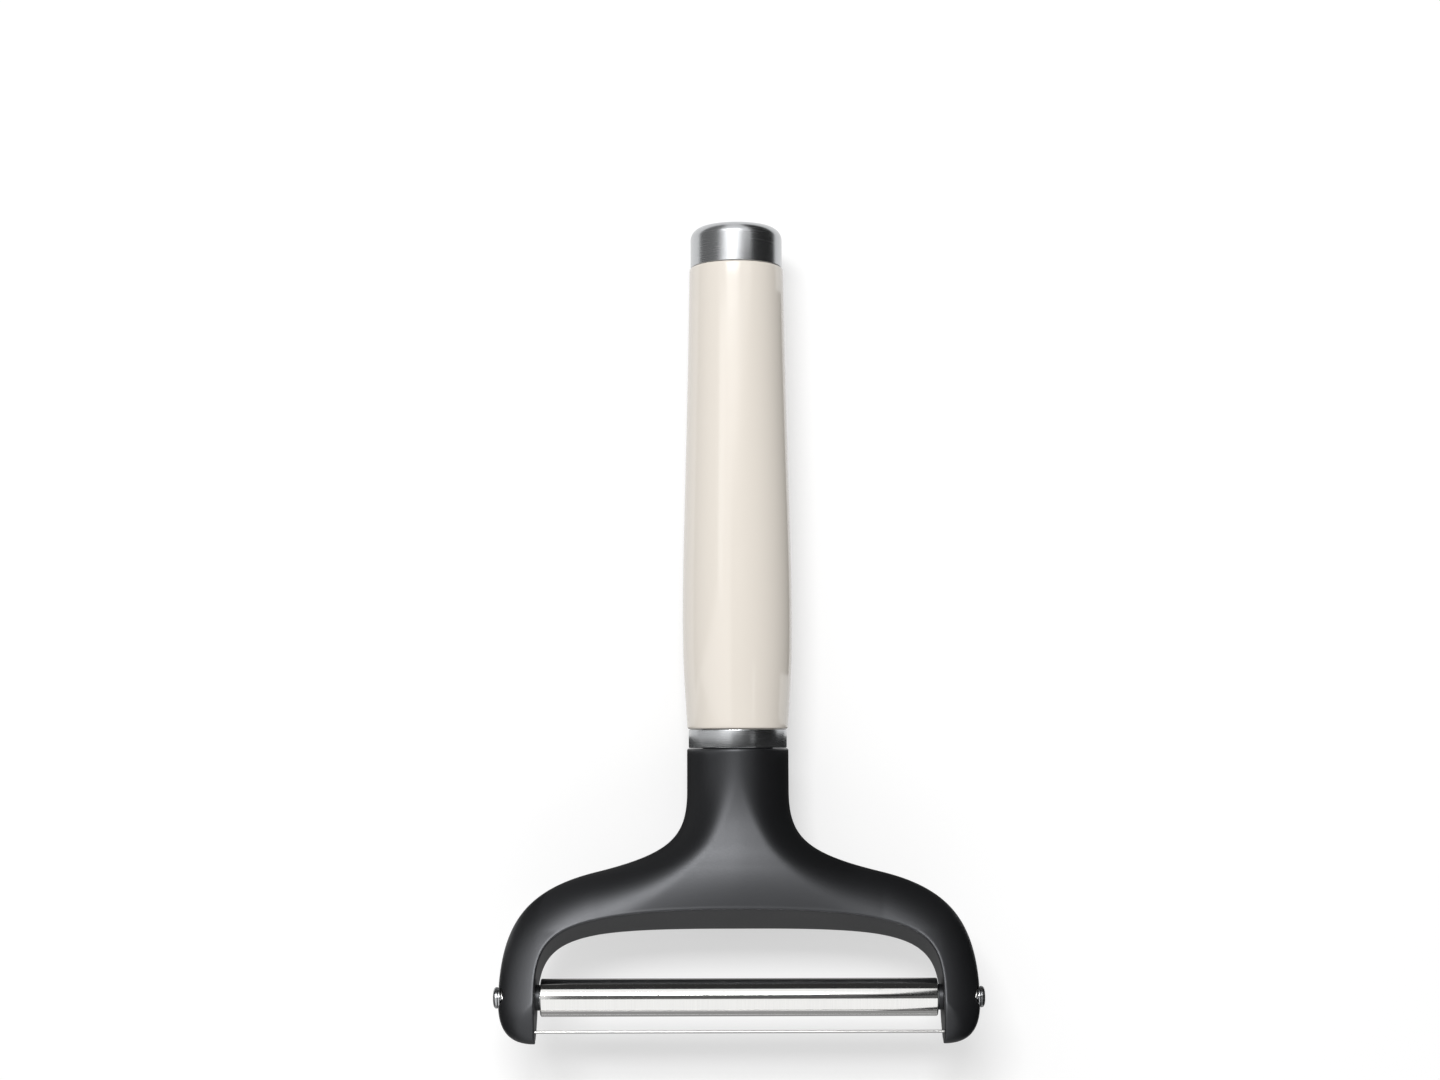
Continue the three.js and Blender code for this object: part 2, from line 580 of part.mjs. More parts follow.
// What is cut out of the right arm, in the head's frame: screw hole, counterbore, wire hole and groove.
function armCuts() {
  const beyond = ARM_OUTER_X + WIRE_BEND_INSET;
  const screwHole = barAlongX(AXLE_SCREW_RADIUS + THREAD_FIT, bossFaceX - BOSS_HEIGHT, beyond);
  const counterbore = barAlongX(WIRE_WASHER_RADIUS + SLIP_FIT, counterboreX, beyond);
  const wireHole = barAlongX(wireGrooveHalf, armInnerX - BOSS_HEIGHT, wireBendX);
  return [
    screwHole.translate(0, -ROLLER_S, 0),
    counterbore.translate(0, -ROLLER_S, 0),
    wireHole.translate(0, -wireS, wireLoopRadius),
    grooveSolid(),
  ];
}

function yokeGeometry() {
  let body = solid(yokeSkin());
  const belowRest = new THREE.BoxGeometry(4 * ARM_OUTER_X, 4 * ARM_OUTER_X, 2 * NECK_RADIUS);
  body = body.subtract(solid(belowRest.translate(0, 0, -NECK_RADIUS)));
  for (const piece of tangSolids()) body = body.add(piece);
  const pilotY = sleeveScrewY - SLEEVE_SCREW_LENGTH - PILOT_RESERVE;
  body = body.subtract(solid(barOnHandle(SLEEVE_SCREW_RADIUS + THREAD_FIT, pilotY, tangTopY + TANG_GAP)));
  const boss = barAlongX(BOSS_RADIUS, bossFaceX, armInnerX + BOSS_HEIGHT).translate(0, -ROLLER_S, 0);
  for (const mirror of [false, true]) {
    const onArm = (g) => solid(mirror ? mirroredInX(g) : g).transform(head.matrixWorld.elements);
    body = body.add(onArm(boss));
    for (const cut of armCuts()) body = body.subtract(onArm(cut));
  }
  return geometryOf(body);
}

// A geometry mirrored in X, with its faces turned back to point outwards.
function mirroredInX(geometry) {
  const copy = geometry.index ? geometry.toNonIndexed() : geometry.clone();
  copy.scale(-1, 1, 1);
  const p = copy.attributes.position;
  for (let i = 0; i < p.count; i += 3) {
    const [x, y, z] = [p.getX(i), p.getY(i), p.getZ(i)];
    p.setXYZ(i, p.getX(i + 1), p.getY(i + 1), p.getZ(i + 1));
    p.setXYZ(i + 1, x, y, z);
  }
  return copy;
}

// Right half of the wire's path in the head's frame: out through the arm, round a bend, up the groove and
// round the screw under its washer.
function wireHalfPath() {
  const points = [];
  const bendCentre = new THREE.Vector2(wireBendX - WIRE_BEND_RADIUS, legStart.y);
  for (let k = 0; k <= WIRE_BEND_STEPS; k++) {
    const angle = (k / WIRE_BEND_STEPS - 1) * (Math.PI / 2);
    const x = bendCentre.x + WIRE_BEND_RADIUS * Math.cos(angle);
    const y = bendCentre.y + WIRE_BEND_RADIUS * Math.sin(angle);
    points.push(new THREE.Vector3(x, y, wireLoopRadius));
  }
  for (let k = 0; k <= 2 * WIRE_BEND_STEPS; k++) {
    const angle = (k / (2 * WIRE_BEND_STEPS)) * WIRE_LOOP_TURN;
    const y = legEnd.y + wireLoopRadius * Math.sin(angle);
    points.push(new THREE.Vector3(wireLoopX, y, wireLoopRadius * Math.cos(angle)));
  }
  return points;
}

function wireGeometry() {
  const right = wireHalfPath();
  const left = right.map((p) => new THREE.Vector3(-p.x, p.y, p.z)).reverse();
  return tubeAlong([...left, ...right], WIRE_RADIUS, WIRE_SIDES);
}

// The roller, its axle and the fasteners on both arms, in the head's frame.
function fillHead() {
  const alongX = (mesh, x, turn) => {
    mesh.rotation.z = turn;
    mesh.position.set(x, -ROLLER_S, 0);
    head.add(mesh);
  };
  const quarter = Math.PI / 2;
  alongX(named("axle_rod", axleGeometry(), satinSteel), 0, quarter);
  alongX(named("roller_tube", tubeGeometry(), brightSteel), 0, quarter);
  head.add(named("cutting_wire", wireGeometry(), brightSteel));
  for (const [side, sign] of [["left", -1], ["right", 1]]) {
    const outwards = -sign * quarter;
    const bush = ringPath(AXLE_RADIUS + RUNNING_FIT, tubeBoreRadius - SEAT_GAP, BUSH_LENGTH);
    const bushX = sign * (rollerHalf - BUSH_LENGTH);
    alongX(named(`roller_bush_${side}`, turned(bush, ROLLER_SEGMENTS), nylon), bushX, outwards);
    const ring = ringPath(AXLE_SCREW_RADIUS + THREAD_FIT, WIRE_WASHER_RADIUS, WIRE_WASHER_THICKNESS);
    const washer = named(`wire_washer_${side}`, turned(ring, SMALL_SEGMENTS), satinSteel);
    alongX(washer, sign * wireWasherX, outwards);
    const screw = screwGeometry(
      AXLE_SCREW_RADIUS,
      AXLE_SCREW_LENGTH,
      AXLE_SCREW_HEAD_RADIUS,
      AXLE_SCREW_HEAD_HEIGHT,
    );
    alongX(named(`axle_screw_${side}`, screw, satinSteel), sign * screwSeatX, outwards);
  }
}

// Pieces stacked along the handle's axis.
function handlePieces() {
  const collar = ringPath(spigotRadius + SLIP_FIT, NECK_RADIUS - COLLAR_INSET, COLLAR_HEIGHT);
  const washer = ringPath(SLEEVE_SCREW_RADIUS + THROUGH_FIT, SLEEVE_WASHER_RADIUS, SLEEVE_WASHER_THICKNESS);
  const screw = screwGeometry(
    SLEEVE_SCREW_RADIUS,
    SLEEVE_SCREW_LENGTH,
    SLEEVE_SCREW_HEAD_RADIUS,
    SLEEVE_SCREW_HEAD_HEIGHT,
  );
  const stack = [
    [named("neck_collar", turned(collar, HANDLE_SEGMENTS), satinSteel), collarY],
    [named("handle_sleeve", sleeveGeometry(), cream), sleeveY],
    [named("sleeve_washer", turned(washer, SMALL_SEGMENTS), satinSteel), sleeveWasherY],
    [named("sleeve_screw", screw, satinSteel), sleeveScrewY],
    [named("cap_plug", plugGeometry(), innerPlastic), capY],
    [named("end_cap", capGeometry(), satinSteel), capY],
  ];
  return stack.map(([mesh, y]) => {
    mesh.position.set(0, y, handleZ);
    return mesh;
  });
}

fillHead();
const slicer = new THREE.Group();
slicer.add(named("yoke", yokeGeometry(), nylon), ...handlePieces(), head);

export default slicer;
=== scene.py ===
# Visual model of a roller wire cheese slicer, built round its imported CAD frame. +Y runs along the handle
# to its end cap, +X across the yoke and +Z up from the surface that the slicer lies on. Sizes are in
# metres.
import math

import bmesh
import bpy
import numpy as np
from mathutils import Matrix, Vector


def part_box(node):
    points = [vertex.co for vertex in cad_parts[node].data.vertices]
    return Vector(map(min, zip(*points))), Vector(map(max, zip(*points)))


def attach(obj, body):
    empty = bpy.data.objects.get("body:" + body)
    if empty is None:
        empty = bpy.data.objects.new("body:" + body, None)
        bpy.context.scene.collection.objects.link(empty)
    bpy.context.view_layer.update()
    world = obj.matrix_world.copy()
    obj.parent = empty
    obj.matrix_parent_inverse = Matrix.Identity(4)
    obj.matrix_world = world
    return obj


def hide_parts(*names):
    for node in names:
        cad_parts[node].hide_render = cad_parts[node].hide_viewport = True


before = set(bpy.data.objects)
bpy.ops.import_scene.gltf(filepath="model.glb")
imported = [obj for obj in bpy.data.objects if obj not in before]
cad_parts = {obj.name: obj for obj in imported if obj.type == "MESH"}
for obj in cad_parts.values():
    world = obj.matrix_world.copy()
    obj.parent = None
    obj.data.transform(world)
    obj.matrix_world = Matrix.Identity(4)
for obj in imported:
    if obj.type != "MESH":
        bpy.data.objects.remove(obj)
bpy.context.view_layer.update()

bl_info = {
    "name": "Roller Wire Cheese Slicer",
    "version": (1, 0, 0),
    "blender": (4, 5, 0),
    "location": "View3D > Sidebar > Slicer",
    "description": "Builds the slicer's pieces, finishes and studio round its packed CAD frame",
    "category": "Object",
}

QUARTER = math.pi / 2
X_AXIS = np.array([1.0, 0.0, 0.0])
Y_AXIS = np.array([0.0, 1.0, 0.0])
SIDES = {"left": -1, "right": 1}

# Places read from the frame
COLLAR_LOW, COLLAR_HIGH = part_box("neck_collar")
SLEEVE_LOW, SLEEVE_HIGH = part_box("handle_sleeve")
CAP_LOW, CAP_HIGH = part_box("end_cap")
TUBE_LOW, TUBE_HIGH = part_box("roller_tube")
BUSH_LOW, BUSH_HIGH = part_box("roller_bush_right")
ROD_LOW, ROD_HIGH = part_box("axle_rod")
SCREW_LOW, SCREW_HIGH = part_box("axle_screw_right")
WASHER_LOW, WASHER_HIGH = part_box("wire_washer_right")
YOKE_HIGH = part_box("yoke")[1]
HANDLE_Z = (COLLAR_LOW.z + COLLAR_HIGH.z) / 2
ROLLER_CENTRE = np.array((TUBE_LOW + TUBE_HIGH) / 2)

# The yoke's outline lies in its own bent plane: x across, s down the middle line from the middle of the
# bend, n out of the front. Each curve leaves its two ends towards a common corner, by a share of the way.
NECK_END_S = -0.016
BEND_LENGTH = 0.030
HEAD_TILT = math.radians(20)
HEEL_S = -0.005
HEEL_LENGTH = 0.023
HEEL_CUT = 0.0028
FLARE_START_S = -0.006
FLARE_PULL = 0.8
SHOULDER_X = 0.033
SHOULDER_S = 0.0133
SHOULDER_SLOPE = 0.25
SHOULDER_PULL = 0.72
ARM_PULL = 0.75
ARCH_S = 0.0246
ARCH_CROWN_PULL = 0.9
ARCH_SIDE_PULL = 0.79
TIP_PULL = 0.7
ROLLER_S = 0.0428
WIRE_TO_TIP = 0.0023
SLICE_GAP = 0.0037
ROUNDING_FROM_S = -0.01
ROUNDING_TO_S = 0.009
BEND_EASE = 0.0005
BEND_EASE_FROM_S = -0.016
BEND_EASE_TO_S = 0.006
CROWN_FALL = 0.0032
CROWN_FALL_S = 0.009
CROWN_FALL_END_S = 0.029
ARM_POWER = 1.6
HEEL_BLEND = 0.0005
EDGE_SHARE = 0.3

# Cuts and fittings in the arms
AXLE_SCREW_RADIUS = 0.00125
THREAD_FIT = 0.00015
SLIP_FIT = 0.0002
BUSH_CLEARANCE = 0.0001
COUNTERBORE_RADIUS = 0.0027
COUNTERBORE_DEPTH = 0.0014
BOSS_RADIUS = 0.0029
BOSS_HEIGHT = 0.0008
WIRE_BEND_RADIUS = 0.0012
WIRE_BEND_INSET = 0.0034
WIRE_LOOP_TURN = math.radians(270)

# Axle screws: the gap under the head, and the head's crown and cross recess as shares of its own sizes
SCREW_SEAT_GAP = 0.0001
SCREW_HEAD_BEVEL = 0.00012
SCREW_TIP_WIDTH = 0.6
CROWN_SHOULDER_WIDTH = 0.97
CROWN_SHOULDER_HEIGHT = 0.75
CROWN_FLAT_WIDTH = 0.75
RECESS_MARGIN = 0.0005
RECESS_DEPTHS = np.array([0, 0.6, 1])
RECESS_WIDTHS = np.array([1.1, 1.0, 0.8, 0.45])

# Tang inside the sleeve
SPIGOT_RADIUS = 0.0083
SPIGOT_DEPTH = 0.012
TANG_CORE_RADIUS = 0.0045
TANG_RIB_THICKNESS = 0.0024
PILOT_RADIUS = 0.00215
PILOT_DEPTH = 0.0192
TANG_OVERLAP = 0.006
DRILL_MARGIN = 0.001

# Sleeve and cap
SLEEVE_BORE_RADIUS = 0.0085
SLEEVE_WEB_DEPTH = 0.018
SLEEVE_WEB_THICKNESS = 0.003
SLEEVE_WEB_HOLE = 0.0023
COLLAR_BORE_RADIUS = 0.0085

# Depth of the fine texture on each finish
NYLON_GRAIN_DEPTH = 0.00003
CREAM_PEEL_DEPTH = 0.00001
BRUSHED_LINE_DEPTH = 0.000001
TURNED_LINE_DEPTH = 0.000002
INNER_GRAIN_DEPTH = 0.00002

# Mesh fineness
CENTRE_COLUMNS = 44
SHOULDER_COLUMNS = 56
TIP_COLUMNS = 36
DEPTH_ROWS = 40
EDGE_ROWS = 5
INNER_ROWS = 12
NECK_ROWS = 20
FLARE_ROWS = 44
RIM_REFINEMENT = 4
HANDLE_SEGMENTS = 128
ROLLER_SEGMENTS = 96
SMALL_SEGMENTS = 48
CURVE_STEPS = 40
FILLET_STEPS = 6
CROWN_STEPS = 16
WIRE_SIDES = 16
WIRE_SPAN_STEPS = 23
WIRE_BEND_STEPS = 14
WIRE_LEG_STEPS = 9
WIRE_LOOP_STEPS = 59
ARCH_TABLE_STEPS = 4000
DISTANCE_BLOCK = 2000
WELD_DISTANCE = 5e-7
SMOOTH_ANGLE = math.radians(32)

# Photograph's frame and camera
PHOTO_WIDTH = 1440
CAMERA_FOCAL_PIXELS = 2270
CAMERA_SENSOR = 36.0
CAMERA_PLACE = (-0.0042, 0.012, 0.553)
CAMERA_TILT = math.radians(5.14)
CAMERA_ROLL = math.radians(-0.15)

# Studio: each lamp is given as its centre, the point it faces, its width and its height
KEY_LAMP = ((-0.25, 0.745, 1.48), (-0.25, 0, 0), 0.8, 0.38)
LEFT_LAMP = ((-0.55, 0.45, 0.75), (0, 0, 0), 0.6, 0.5)
FRONT_LAMP = ((0.1, -0.9, 0.6), (0, 0.05, 0), 0.8, 0.8)
FLOOR_CENTRE = (0, 0.04, 0)
FLOOR_WHITE_FROM = 0.1
FLOOR_WHITE_AT = 0.35
FLOOR_HALF = 3.0
FLOOR_BELOW = 0.0002


def length(name, description, default):
    """A size property in metres."""
    return bpy.props.FloatProperty(
        name=name,
        description=description,
        default=default,
        min=0,
        unit="LENGTH",
        subtype="DISTANCE",
        precision=5,
    )


def share(name, description, default, high=1.0):
    """A plain number property from 0 to a highest value."""
    return bpy.props.FloatProperty(
        name=name, description=description, default=default, min=0, max=high, subtype="FACTOR"
    )


def colour(name, description, default):
    """A linear colour property."""
    return bpy.props.FloatVectorProperty(
        name=name, description=description, default=default, min=0, max=1, size=3, subtype="COLOR"
    )


class SlicerYokeSizes(bpy.types.PropertyGroup):
    """Sizes of the moulded yoke"""

    neck_radius: length("Neck radius", "Radius of the round neck below the collar", 0.012)
    arm_outer: length("Arm reach", "From the middle to the outer side of each arm", 0.055)
    arm_width: length("Arm width", "Width of each arm beside the roller", 0.0087)
    arm_depth: length("Arm half depth", "Half the depth of the arms, front to back", 0.0059)
    arm_rounding: length("Arm rounding", "Reach of the rounding in from the arms' rim", 0.0128)
    rounding: length("Edge rounding", "Reach of the rounding in from the rim at the bend", 0.0092)
    side_rounding: length("Side rounding", "Reach of the rounding in from the rim at the shoulders", 0.02)
    inner_edge: length("Inner edge radius", "Radius where the front and back meet the inner face", 0.0005)
    neck_edge: length("Neck edge radius", "Radius round the neck's end, under the collar", 0.0005)


class SlicerHandleSizes(bpy.types.PropertyGroup):
    """Sizes of the handle's sleeve, collar and cap"""

    foot_radius: length("Foot radius", "Radius of the sleeve at the collar", 0.01195)
    belly_radius: length("Belly radius", "Largest radius of the sleeve", 0.013)
    belly_height: length("Belly height", "Height of the sleeve's largest radius above its foot", 0.0275)
    top_radius: length("Top radius", "Radius of the sleeve at the cap", 0.0113)
    sleeve_edge: length("Sleeve edge radius", "Radius round both ends of the sleeve", 0.0005)
    collar_edge: length("Collar edge radius", "Radius round both ends of the collar", 0.0003)
    cap_corner: length("Cap corner radius", "Radius round the cap's closed end", 0.0028)
    cap_wall: length("Cap wall", "Thickness of the cap's sheet", 0.0007)
    cap_edge: length("Cap edge radius", "Radius round the cap's open edge", 0.00018)


class SlicerRollerSizes(bpy.types.PropertyGroup):
    """Sizes of the roller, wire and fasteners"""

    tube_wall: length("Tube wall", "Wall of the roller tube", 0.0005)
    tube_edge: length("Tube edge radius", "Radius where the tube's ends are turned in", 0.0003)
    wire_radius: length("Wire radius", "Radius of the cutting wire", 0.00033)
    screw_rim: length("Screw head rim", "Straight part of the screw heads' sides", 0.0004)
    recess_reach: length("Recess reach", "Half the length of each slot of the cross recess", 0.0013)
    recess_width: length("Recess half width", "Half the width of each slot of the cross recess", 0.00028)
    recess_depth: length("Recess depth", "Depth of the cross recess", 0.0008)
    small_edge: length("Small edge radius", "Radius round the edges of screws, washers and bushes", 0.0001)


class SlicerFinishes(bpy.types.PropertyGroup):
    """Colours and gloss of the slicer's materials"""

    nylon: colour("Nylon", "Colour of the black nylon", (0.0050, 0.0052, 0.0058))
    nylon_roughness: share("Nylon roughness", "Mean roughness of the black nylon", 0.43)
    cream: colour("Cream", "Colour of the cream plastic", (0.80, 0.745, 0.672))
    cream_roughness: share("Cream roughness", "Mean roughness of the cream plastic", 0.14)
    satin_steel: colour("Satin steel", "Colour of the brushed steel", (0.50, 0.51, 0.52))
    satin_roughness: share("Satin roughness", "Mean roughness of the brushed steel", 0.26)
    bright_steel: colour("Bright steel", "Colour of the polished steel", (0.86, 0.855, 0.84))
    bright_roughness: share("Bright roughness", "Mean roughness of the polished steel", 0.09)
    wire_roughness: share("Wire roughness", "Mean roughness of the cutting wire", 0.3)
    inner_plastic: colour("Inner plastic", "Colour of the plug inside the handle", (0.25, 0.26, 0.27))
    inner_roughness: share("Inner roughness", "Mean roughness of that plug", 0.55)


class SlicerStage(bpy.types.PropertyGroup):
    """Light and floor of the studio"""

    key: share("Key light", "Brightness of the soft light above the handle's end", 20.0, 40.0)
    left: share("Left light", "Brightness of the soft light above on the left", 0.8, 20.0)
    front: share("Front light", "Brightness of the soft light beyond the head", 1.0, 20.0)
    ambient: share("Ambient", "Brightness of the even light from all round", 0.36)
    floor: colour("Floor", "Colour of the floor", (0.52, 0.52, 0.52))
    floor_glow: share("Floor glow", "White that the floor adds for the eye and for reflections", 0.48)


def smoothstep(value, low, high):
    """0 below low, 1 above high, and t * t * (3 - 2 t) of the share t between them."""
    t = np.clip((value - low) / (high - low), 0, 1)
    return t * t * (3 - 2 * t)


def lerp(first, second, t):
    """The point or number a share t of the way from first to second."""
    return first + (second - first) * t


def bezier(controls, t):
    """Cubic Bezier curve: four control points weighted by the Bernstein polynomials of t."""
    start, first, second, end = (np.asarray(c, float) for c in controls)
    t = np.asarray(t, float)[:, None]
    u = 1 - t
    return u**3 * start + 3 * u**2 * t * first + 3 * u * t**2 * second + t**3 * end


def corner_controls(start, corner, end, start_pull, end_pull):
    """Controls of a Bezier curve that leaves both ends towards a common corner."""
    start, corner, end = (np.asarray(p, float) for p in (start, corner, end))
    return start, lerp(start, corner, start_pull), lerp(end, corner, end_pull), end


def arc(centre, radius, start, end, steps=FILLET_STEPS):
    """Points of a circle's arc between two angles, in the plane of a profile."""
    angle = np.linspace(start, end, steps + 1)
    return np.stack([centre[0] + radius * np.cos(angle), centre[1] + radius * np.sin(angle)], 1)


def rounded(corners, steps=FILLET_STEPS):
    """An outline from rows of (r, h, fillet). Each corner becomes the arc of that radius that touches both
    its sides: between the touching points the spokes turn evenly, sin((1-u)w)/sin w and sin(uw)/sin w."""
    corners = np.asarray(corners, float)
    place, fillet = corners[:, :2], corners[:, 2:]
    to_last = np.roll(place, 1, axis=0) - place
    to_next = np.roll(place, -1, axis=0) - place
    to_last /= np.linalg.norm(to_last, axis=1, keepdims=True)
    to_next /= np.linalg.norm(to_next, axis=1, keepdims=True)
    half = np.arccos(np.clip((to_last * to_next).sum(1), -1, 1))[:, None] / 2
    middle = to_last + to_next
    middle /= np.maximum(np.linalg.norm(middle, axis=1, keepdims=True), 1e-12)
    centre = place + middle * fillet / np.sin(half)
    first = place + to_last * fillet / np.tan(half) - centre
    last = place + to_next * fillet / np.tan(half) - centre
    turn = np.maximum(math.pi - 2 * half, 1e-9)[:, None]
    u = np.linspace(0, 1, steps + 1)[None, :, None]
    spokes = np.sin((1 - u) * turn) * first[:, None] + np.sin(u * turn) * last[:, None]
    points = centre[:, None] + spokes / np.sin(turn)
    return points.reshape(-1, 2)


def grid_faces(rows, columns, wrap_rows=False, wrap_columns=False):
    """Corner indices of the four-sided cells of a grid, closed round either way where asked."""
    index = np.arange(rows * columns).reshape(rows, columns)
    if wrap_rows:
        index = np.concatenate([index, index[:1]], axis=0)
    if wrap_columns:
        index = np.concatenate([index, index[:, :1]], axis=1)
    cells = [index[:-1, :-1], index[1:, :-1], index[1:, 1:], index[:-1, 1:]]
    return np.stack(cells, axis=-1).reshape(-1, 4)


def turned(profile, origin, along, across, segments, closed=True):
    """Surface of revolution: a profile point (r, h) goes to origin + h along + r (cos a across + sin a
    beside) for angles a round the axis. A closed profile is a ring's section; an open one ends on the
    axis."""
    angle = np.linspace(0, 2 * math.pi, segments, endpoint=False)[:, None]
    beside = np.cross(along, across)
    spoke = np.cos(angle) * across + np.sin(angle) * beside
    radius, height = profile[:, 0], profile[:, 1]
    points = np.asarray(origin) + height[None, :, None] * along + radius[None, :, None] * spoke[:, None, :]
    faces = grid_faces(segments, len(profile), wrap_rows=True, wrap_columns=closed)
    return points.reshape(-1, 3), faces


def swept(path, across, sections):
    """A profile carried along a path: at each point the section's (a, b) goes to path + a across + b
    beside, where beside is square to the path and to across. Both ends close on the path itself."""
    along = np.gradient(path, axis=0)
    along /= np.linalg.norm(along, axis=1, keepdims=True)
    across = across - (across * along).sum(1, keepdims=True) * along
    across /= np.linalg.norm(across, axis=1, keepdims=True)
    beside = np.cross(along, across)
    rings = path[:, None] + sections[..., :1] * across[:, None] + sections[..., 1:] * beside[:, None]
    sides = rings.shape[1]
    ends = [np.repeat(path[i][None, None], sides, axis=1) for i in (0, -1)]
    points = np.concatenate([ends[0], rings, ends[1]])
    faces = grid_faces(len(points), sides, wrap_columns=True)
    return points.reshape(-1, 3), faces


def joined(*surfaces):
    """Several surfaces' points and faces as one list of each."""
    starts = np.cumsum([0] + [len(points) for points, _ in surfaces[:-1]])
    points = np.concatenate([points for points, _ in surfaces])
    faces = np.concatenate([faces + start for (_, faces), start in zip(surfaces, starts)])
    return points, faces


def closed_object(name, points, faces):
    """A mesh object with its seams and poles welded and its faces pointing outwards. An open one is an
    error."""
    mesh = bpy.data.meshes.new(name)
    mesh.from_pydata(points, [], faces)
    work = bmesh.new()
    work.from_mesh(mesh)
    bmesh.ops.remove_doubles(work, verts=work.verts, dist=WELD_DISTANCE)
    bmesh.ops.recalc_face_normals(work, faces=work.faces)
    open_edges = sum(not edge.is_manifold for edge in work.edges)
    work.to_mesh(mesh)
    work.free()
    if open_edges:
        raise RuntimeError(f"{name} has {open_edges} open edges")
    made = bpy.data.objects.new(name, mesh)
    bpy.context.scene.collection.objects.link(made)
    return made


def round_the_handle(name, profile, foot_y, closed=True):
    """A piece turned about the handle's axis: its profile is (radius, height above foot_y)."""
    foot = np.array([0, foot_y, HANDLE_Z])
    return closed_object(name, *turned(profile, foot, Y_AXIS, X_AXIS, HANDLE_SEGMENTS, closed))


def round_the_axle(name, profile, side, segments, closed=True):
    """A piece turned about the roller's axle: its profile is (radius, distance from the middle)."""
    return closed_object(name, *turned(profile, ROLLER_CENTRE, side * X_AXIS, Y_AXIS, segments, closed))


def combine(body, operation, points, faces):
    """Joins a solid to a body or cuts it out, as a Boolean modifier does, and keeps the result."""
    tool = closed_object("tool", points, faces)
    modifier = body.modifiers.new(operation, "BOOLEAN")
    modifier.operation = operation
    modifier.solver = "MANIFOLD"
    modifier.object = tool
    graph = bpy.context.evaluated_depsgraph_get()
    result = bpy.data.meshes.new_from_object(body.evaluated_get(graph))
    body.modifiers.clear()
    used = [body.data, tool.data]
    body.data = result
    bpy.data.objects.remove(tool)
    for mesh in used:
        bpy.data.meshes.remove(mesh)


def finished(piece, material, body, slot, *nodes):
    """Smooth shading with sharp corners, the piece's material, and its place in the frame."""
    mesh = piece.data
    mesh.name = piece.name
    mesh.shade_smooth()
    mesh.set_sharp_from_angle(angle=SMOOTH_ANGLE)
    mesh.materials.clear()
    mesh.materials.append(material)
    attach(piece, body)
    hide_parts(*nodes)
    return piece


class Value:
    """A shader socket that carries a value. Arithmetic on it adds Math nodes."""

    def __init__(self, graph, socket):
        self.graph = graph
        self.socket = socket

    def output(self, name):
        """Another output of the same node."""
        return Value(self.graph, self.socket.node.outputs[name])

    def math(self, operation, first, second):
        return self.graph.node("ShaderNodeMath", {"operation": operation}, {0: first, 1: second})

    def __add__(self, other):
        return self.math("ADD", self, other)

    def __radd__(self, other):
        return self.math("ADD", other, self)

    def __sub__(self, other):
        return self.math("SUBTRACT", self, other)

    def __rsub__(self, other):
        return self.math("SUBTRACT", other, self)

    def __mul__(self, other):
        return self.math("MULTIPLY", self, other)

    def __rmul__(self, other):
        return self.math("MULTIPLY", other, self)


class Graph:
    """A node tree that is filled from empty."""

    def __init__(self, tree):
        self.tree = tree
        tree.nodes.clear()

    def node(self, kind, settings=None, inputs=None, output=0):
        """Adds a node. Its settings come first, then each input takes a number, a colour or a link."""
        made = self.tree.nodes.new(kind)
        for key, value in (settings or {}).items():
            setattr(made, key, value)
        for key, value in (inputs or {}).items():
            if isinstance(value, Value):
                self.tree.links.new(value.socket, made.inputs[key])
            else:
                made.inputs[key].default_value = value
        return Value(self, made.outputs[output]) if made.outputs else None

    def noise(self, scale, stretch=(1, 1, 1), detail=2.0):
        """Noise on Object coordinates: scale is in waves to the metre, stretched along each axis."""
        place = self.node("ShaderNodeTexCoord", output="Object")
        place = self.node("ShaderNodeMapping", inputs={"Vector": place, "Scale": stretch})
        return self.node("ShaderNodeTexNoise", inputs={"Vector": place, "Scale": scale, "Detail": detail})

    def mix(self, factor, first, second):
        """A colour that goes from first to second as the factor goes from 0 to 1."""
        inputs = {0: factor, 6: (*first, 1), 7: (*second, 1)}
        return self.node("ShaderNodeMix", {"data_type": "RGBA"}, inputs, 2)

    def bump(self, height, strength, distance):
        """A normal tipped by the slope of a height."""
        inputs = {"Height": height, "Strength": strength, "Distance": distance}
        return self.node("ShaderNodeBump", inputs=inputs)


def new_graph(name):
    """A new material and the graph of its nodes."""
    material = bpy.data.materials.new(name)
    material.use_nodes = True
    return material, Graph(material.node_tree)


def surface(graph, **inputs):
    """Ends a material's graph with a Principled shader. Underscores in names stand for spaces."""
    named = {key.replace("_", " "): value for key, value in inputs.items()}
    shader = graph.node("ShaderNodeBsdfPrincipled", inputs=named)
    graph.node("ShaderNodeOutputMaterial", inputs={"Surface": shader})


def scaled(tint, factor):
    """A colour made lighter or darker."""
    return tuple(channel * factor for channel in tint)


def black_nylon(finish):
    """Moulded nylon: black, with a fine sparked grain, faint mottling and slightly uneven gloss."""
    material, graph = new_graph("black_nylon_moulded")
    grain = graph.noise(2600, detail=3.0)
    mottle = graph.noise(420)
    patches = graph.noise(60)
    tint = graph.mix(patches * 0.6 + mottle * 0.4, scaled(finish.nylon, 0.8), scaled(finish.nylon, 1.25))
    roughness = finish.nylon_roughness + (patches - 0.5) * 0.06 + (grain - 0.5) * 0.10
    surface(
        graph,
        Base_Color=tint,
        Roughness=roughness,
        Specular_IOR_Level=0.8,
        Specular_Tint=(0.93, 0.95, 1.0, 1.0),
        Normal=graph.bump(grain * 0.75 + mottle * 0.25, 0.35, NYLON_GRAIN_DEPTH),
    )
    return material


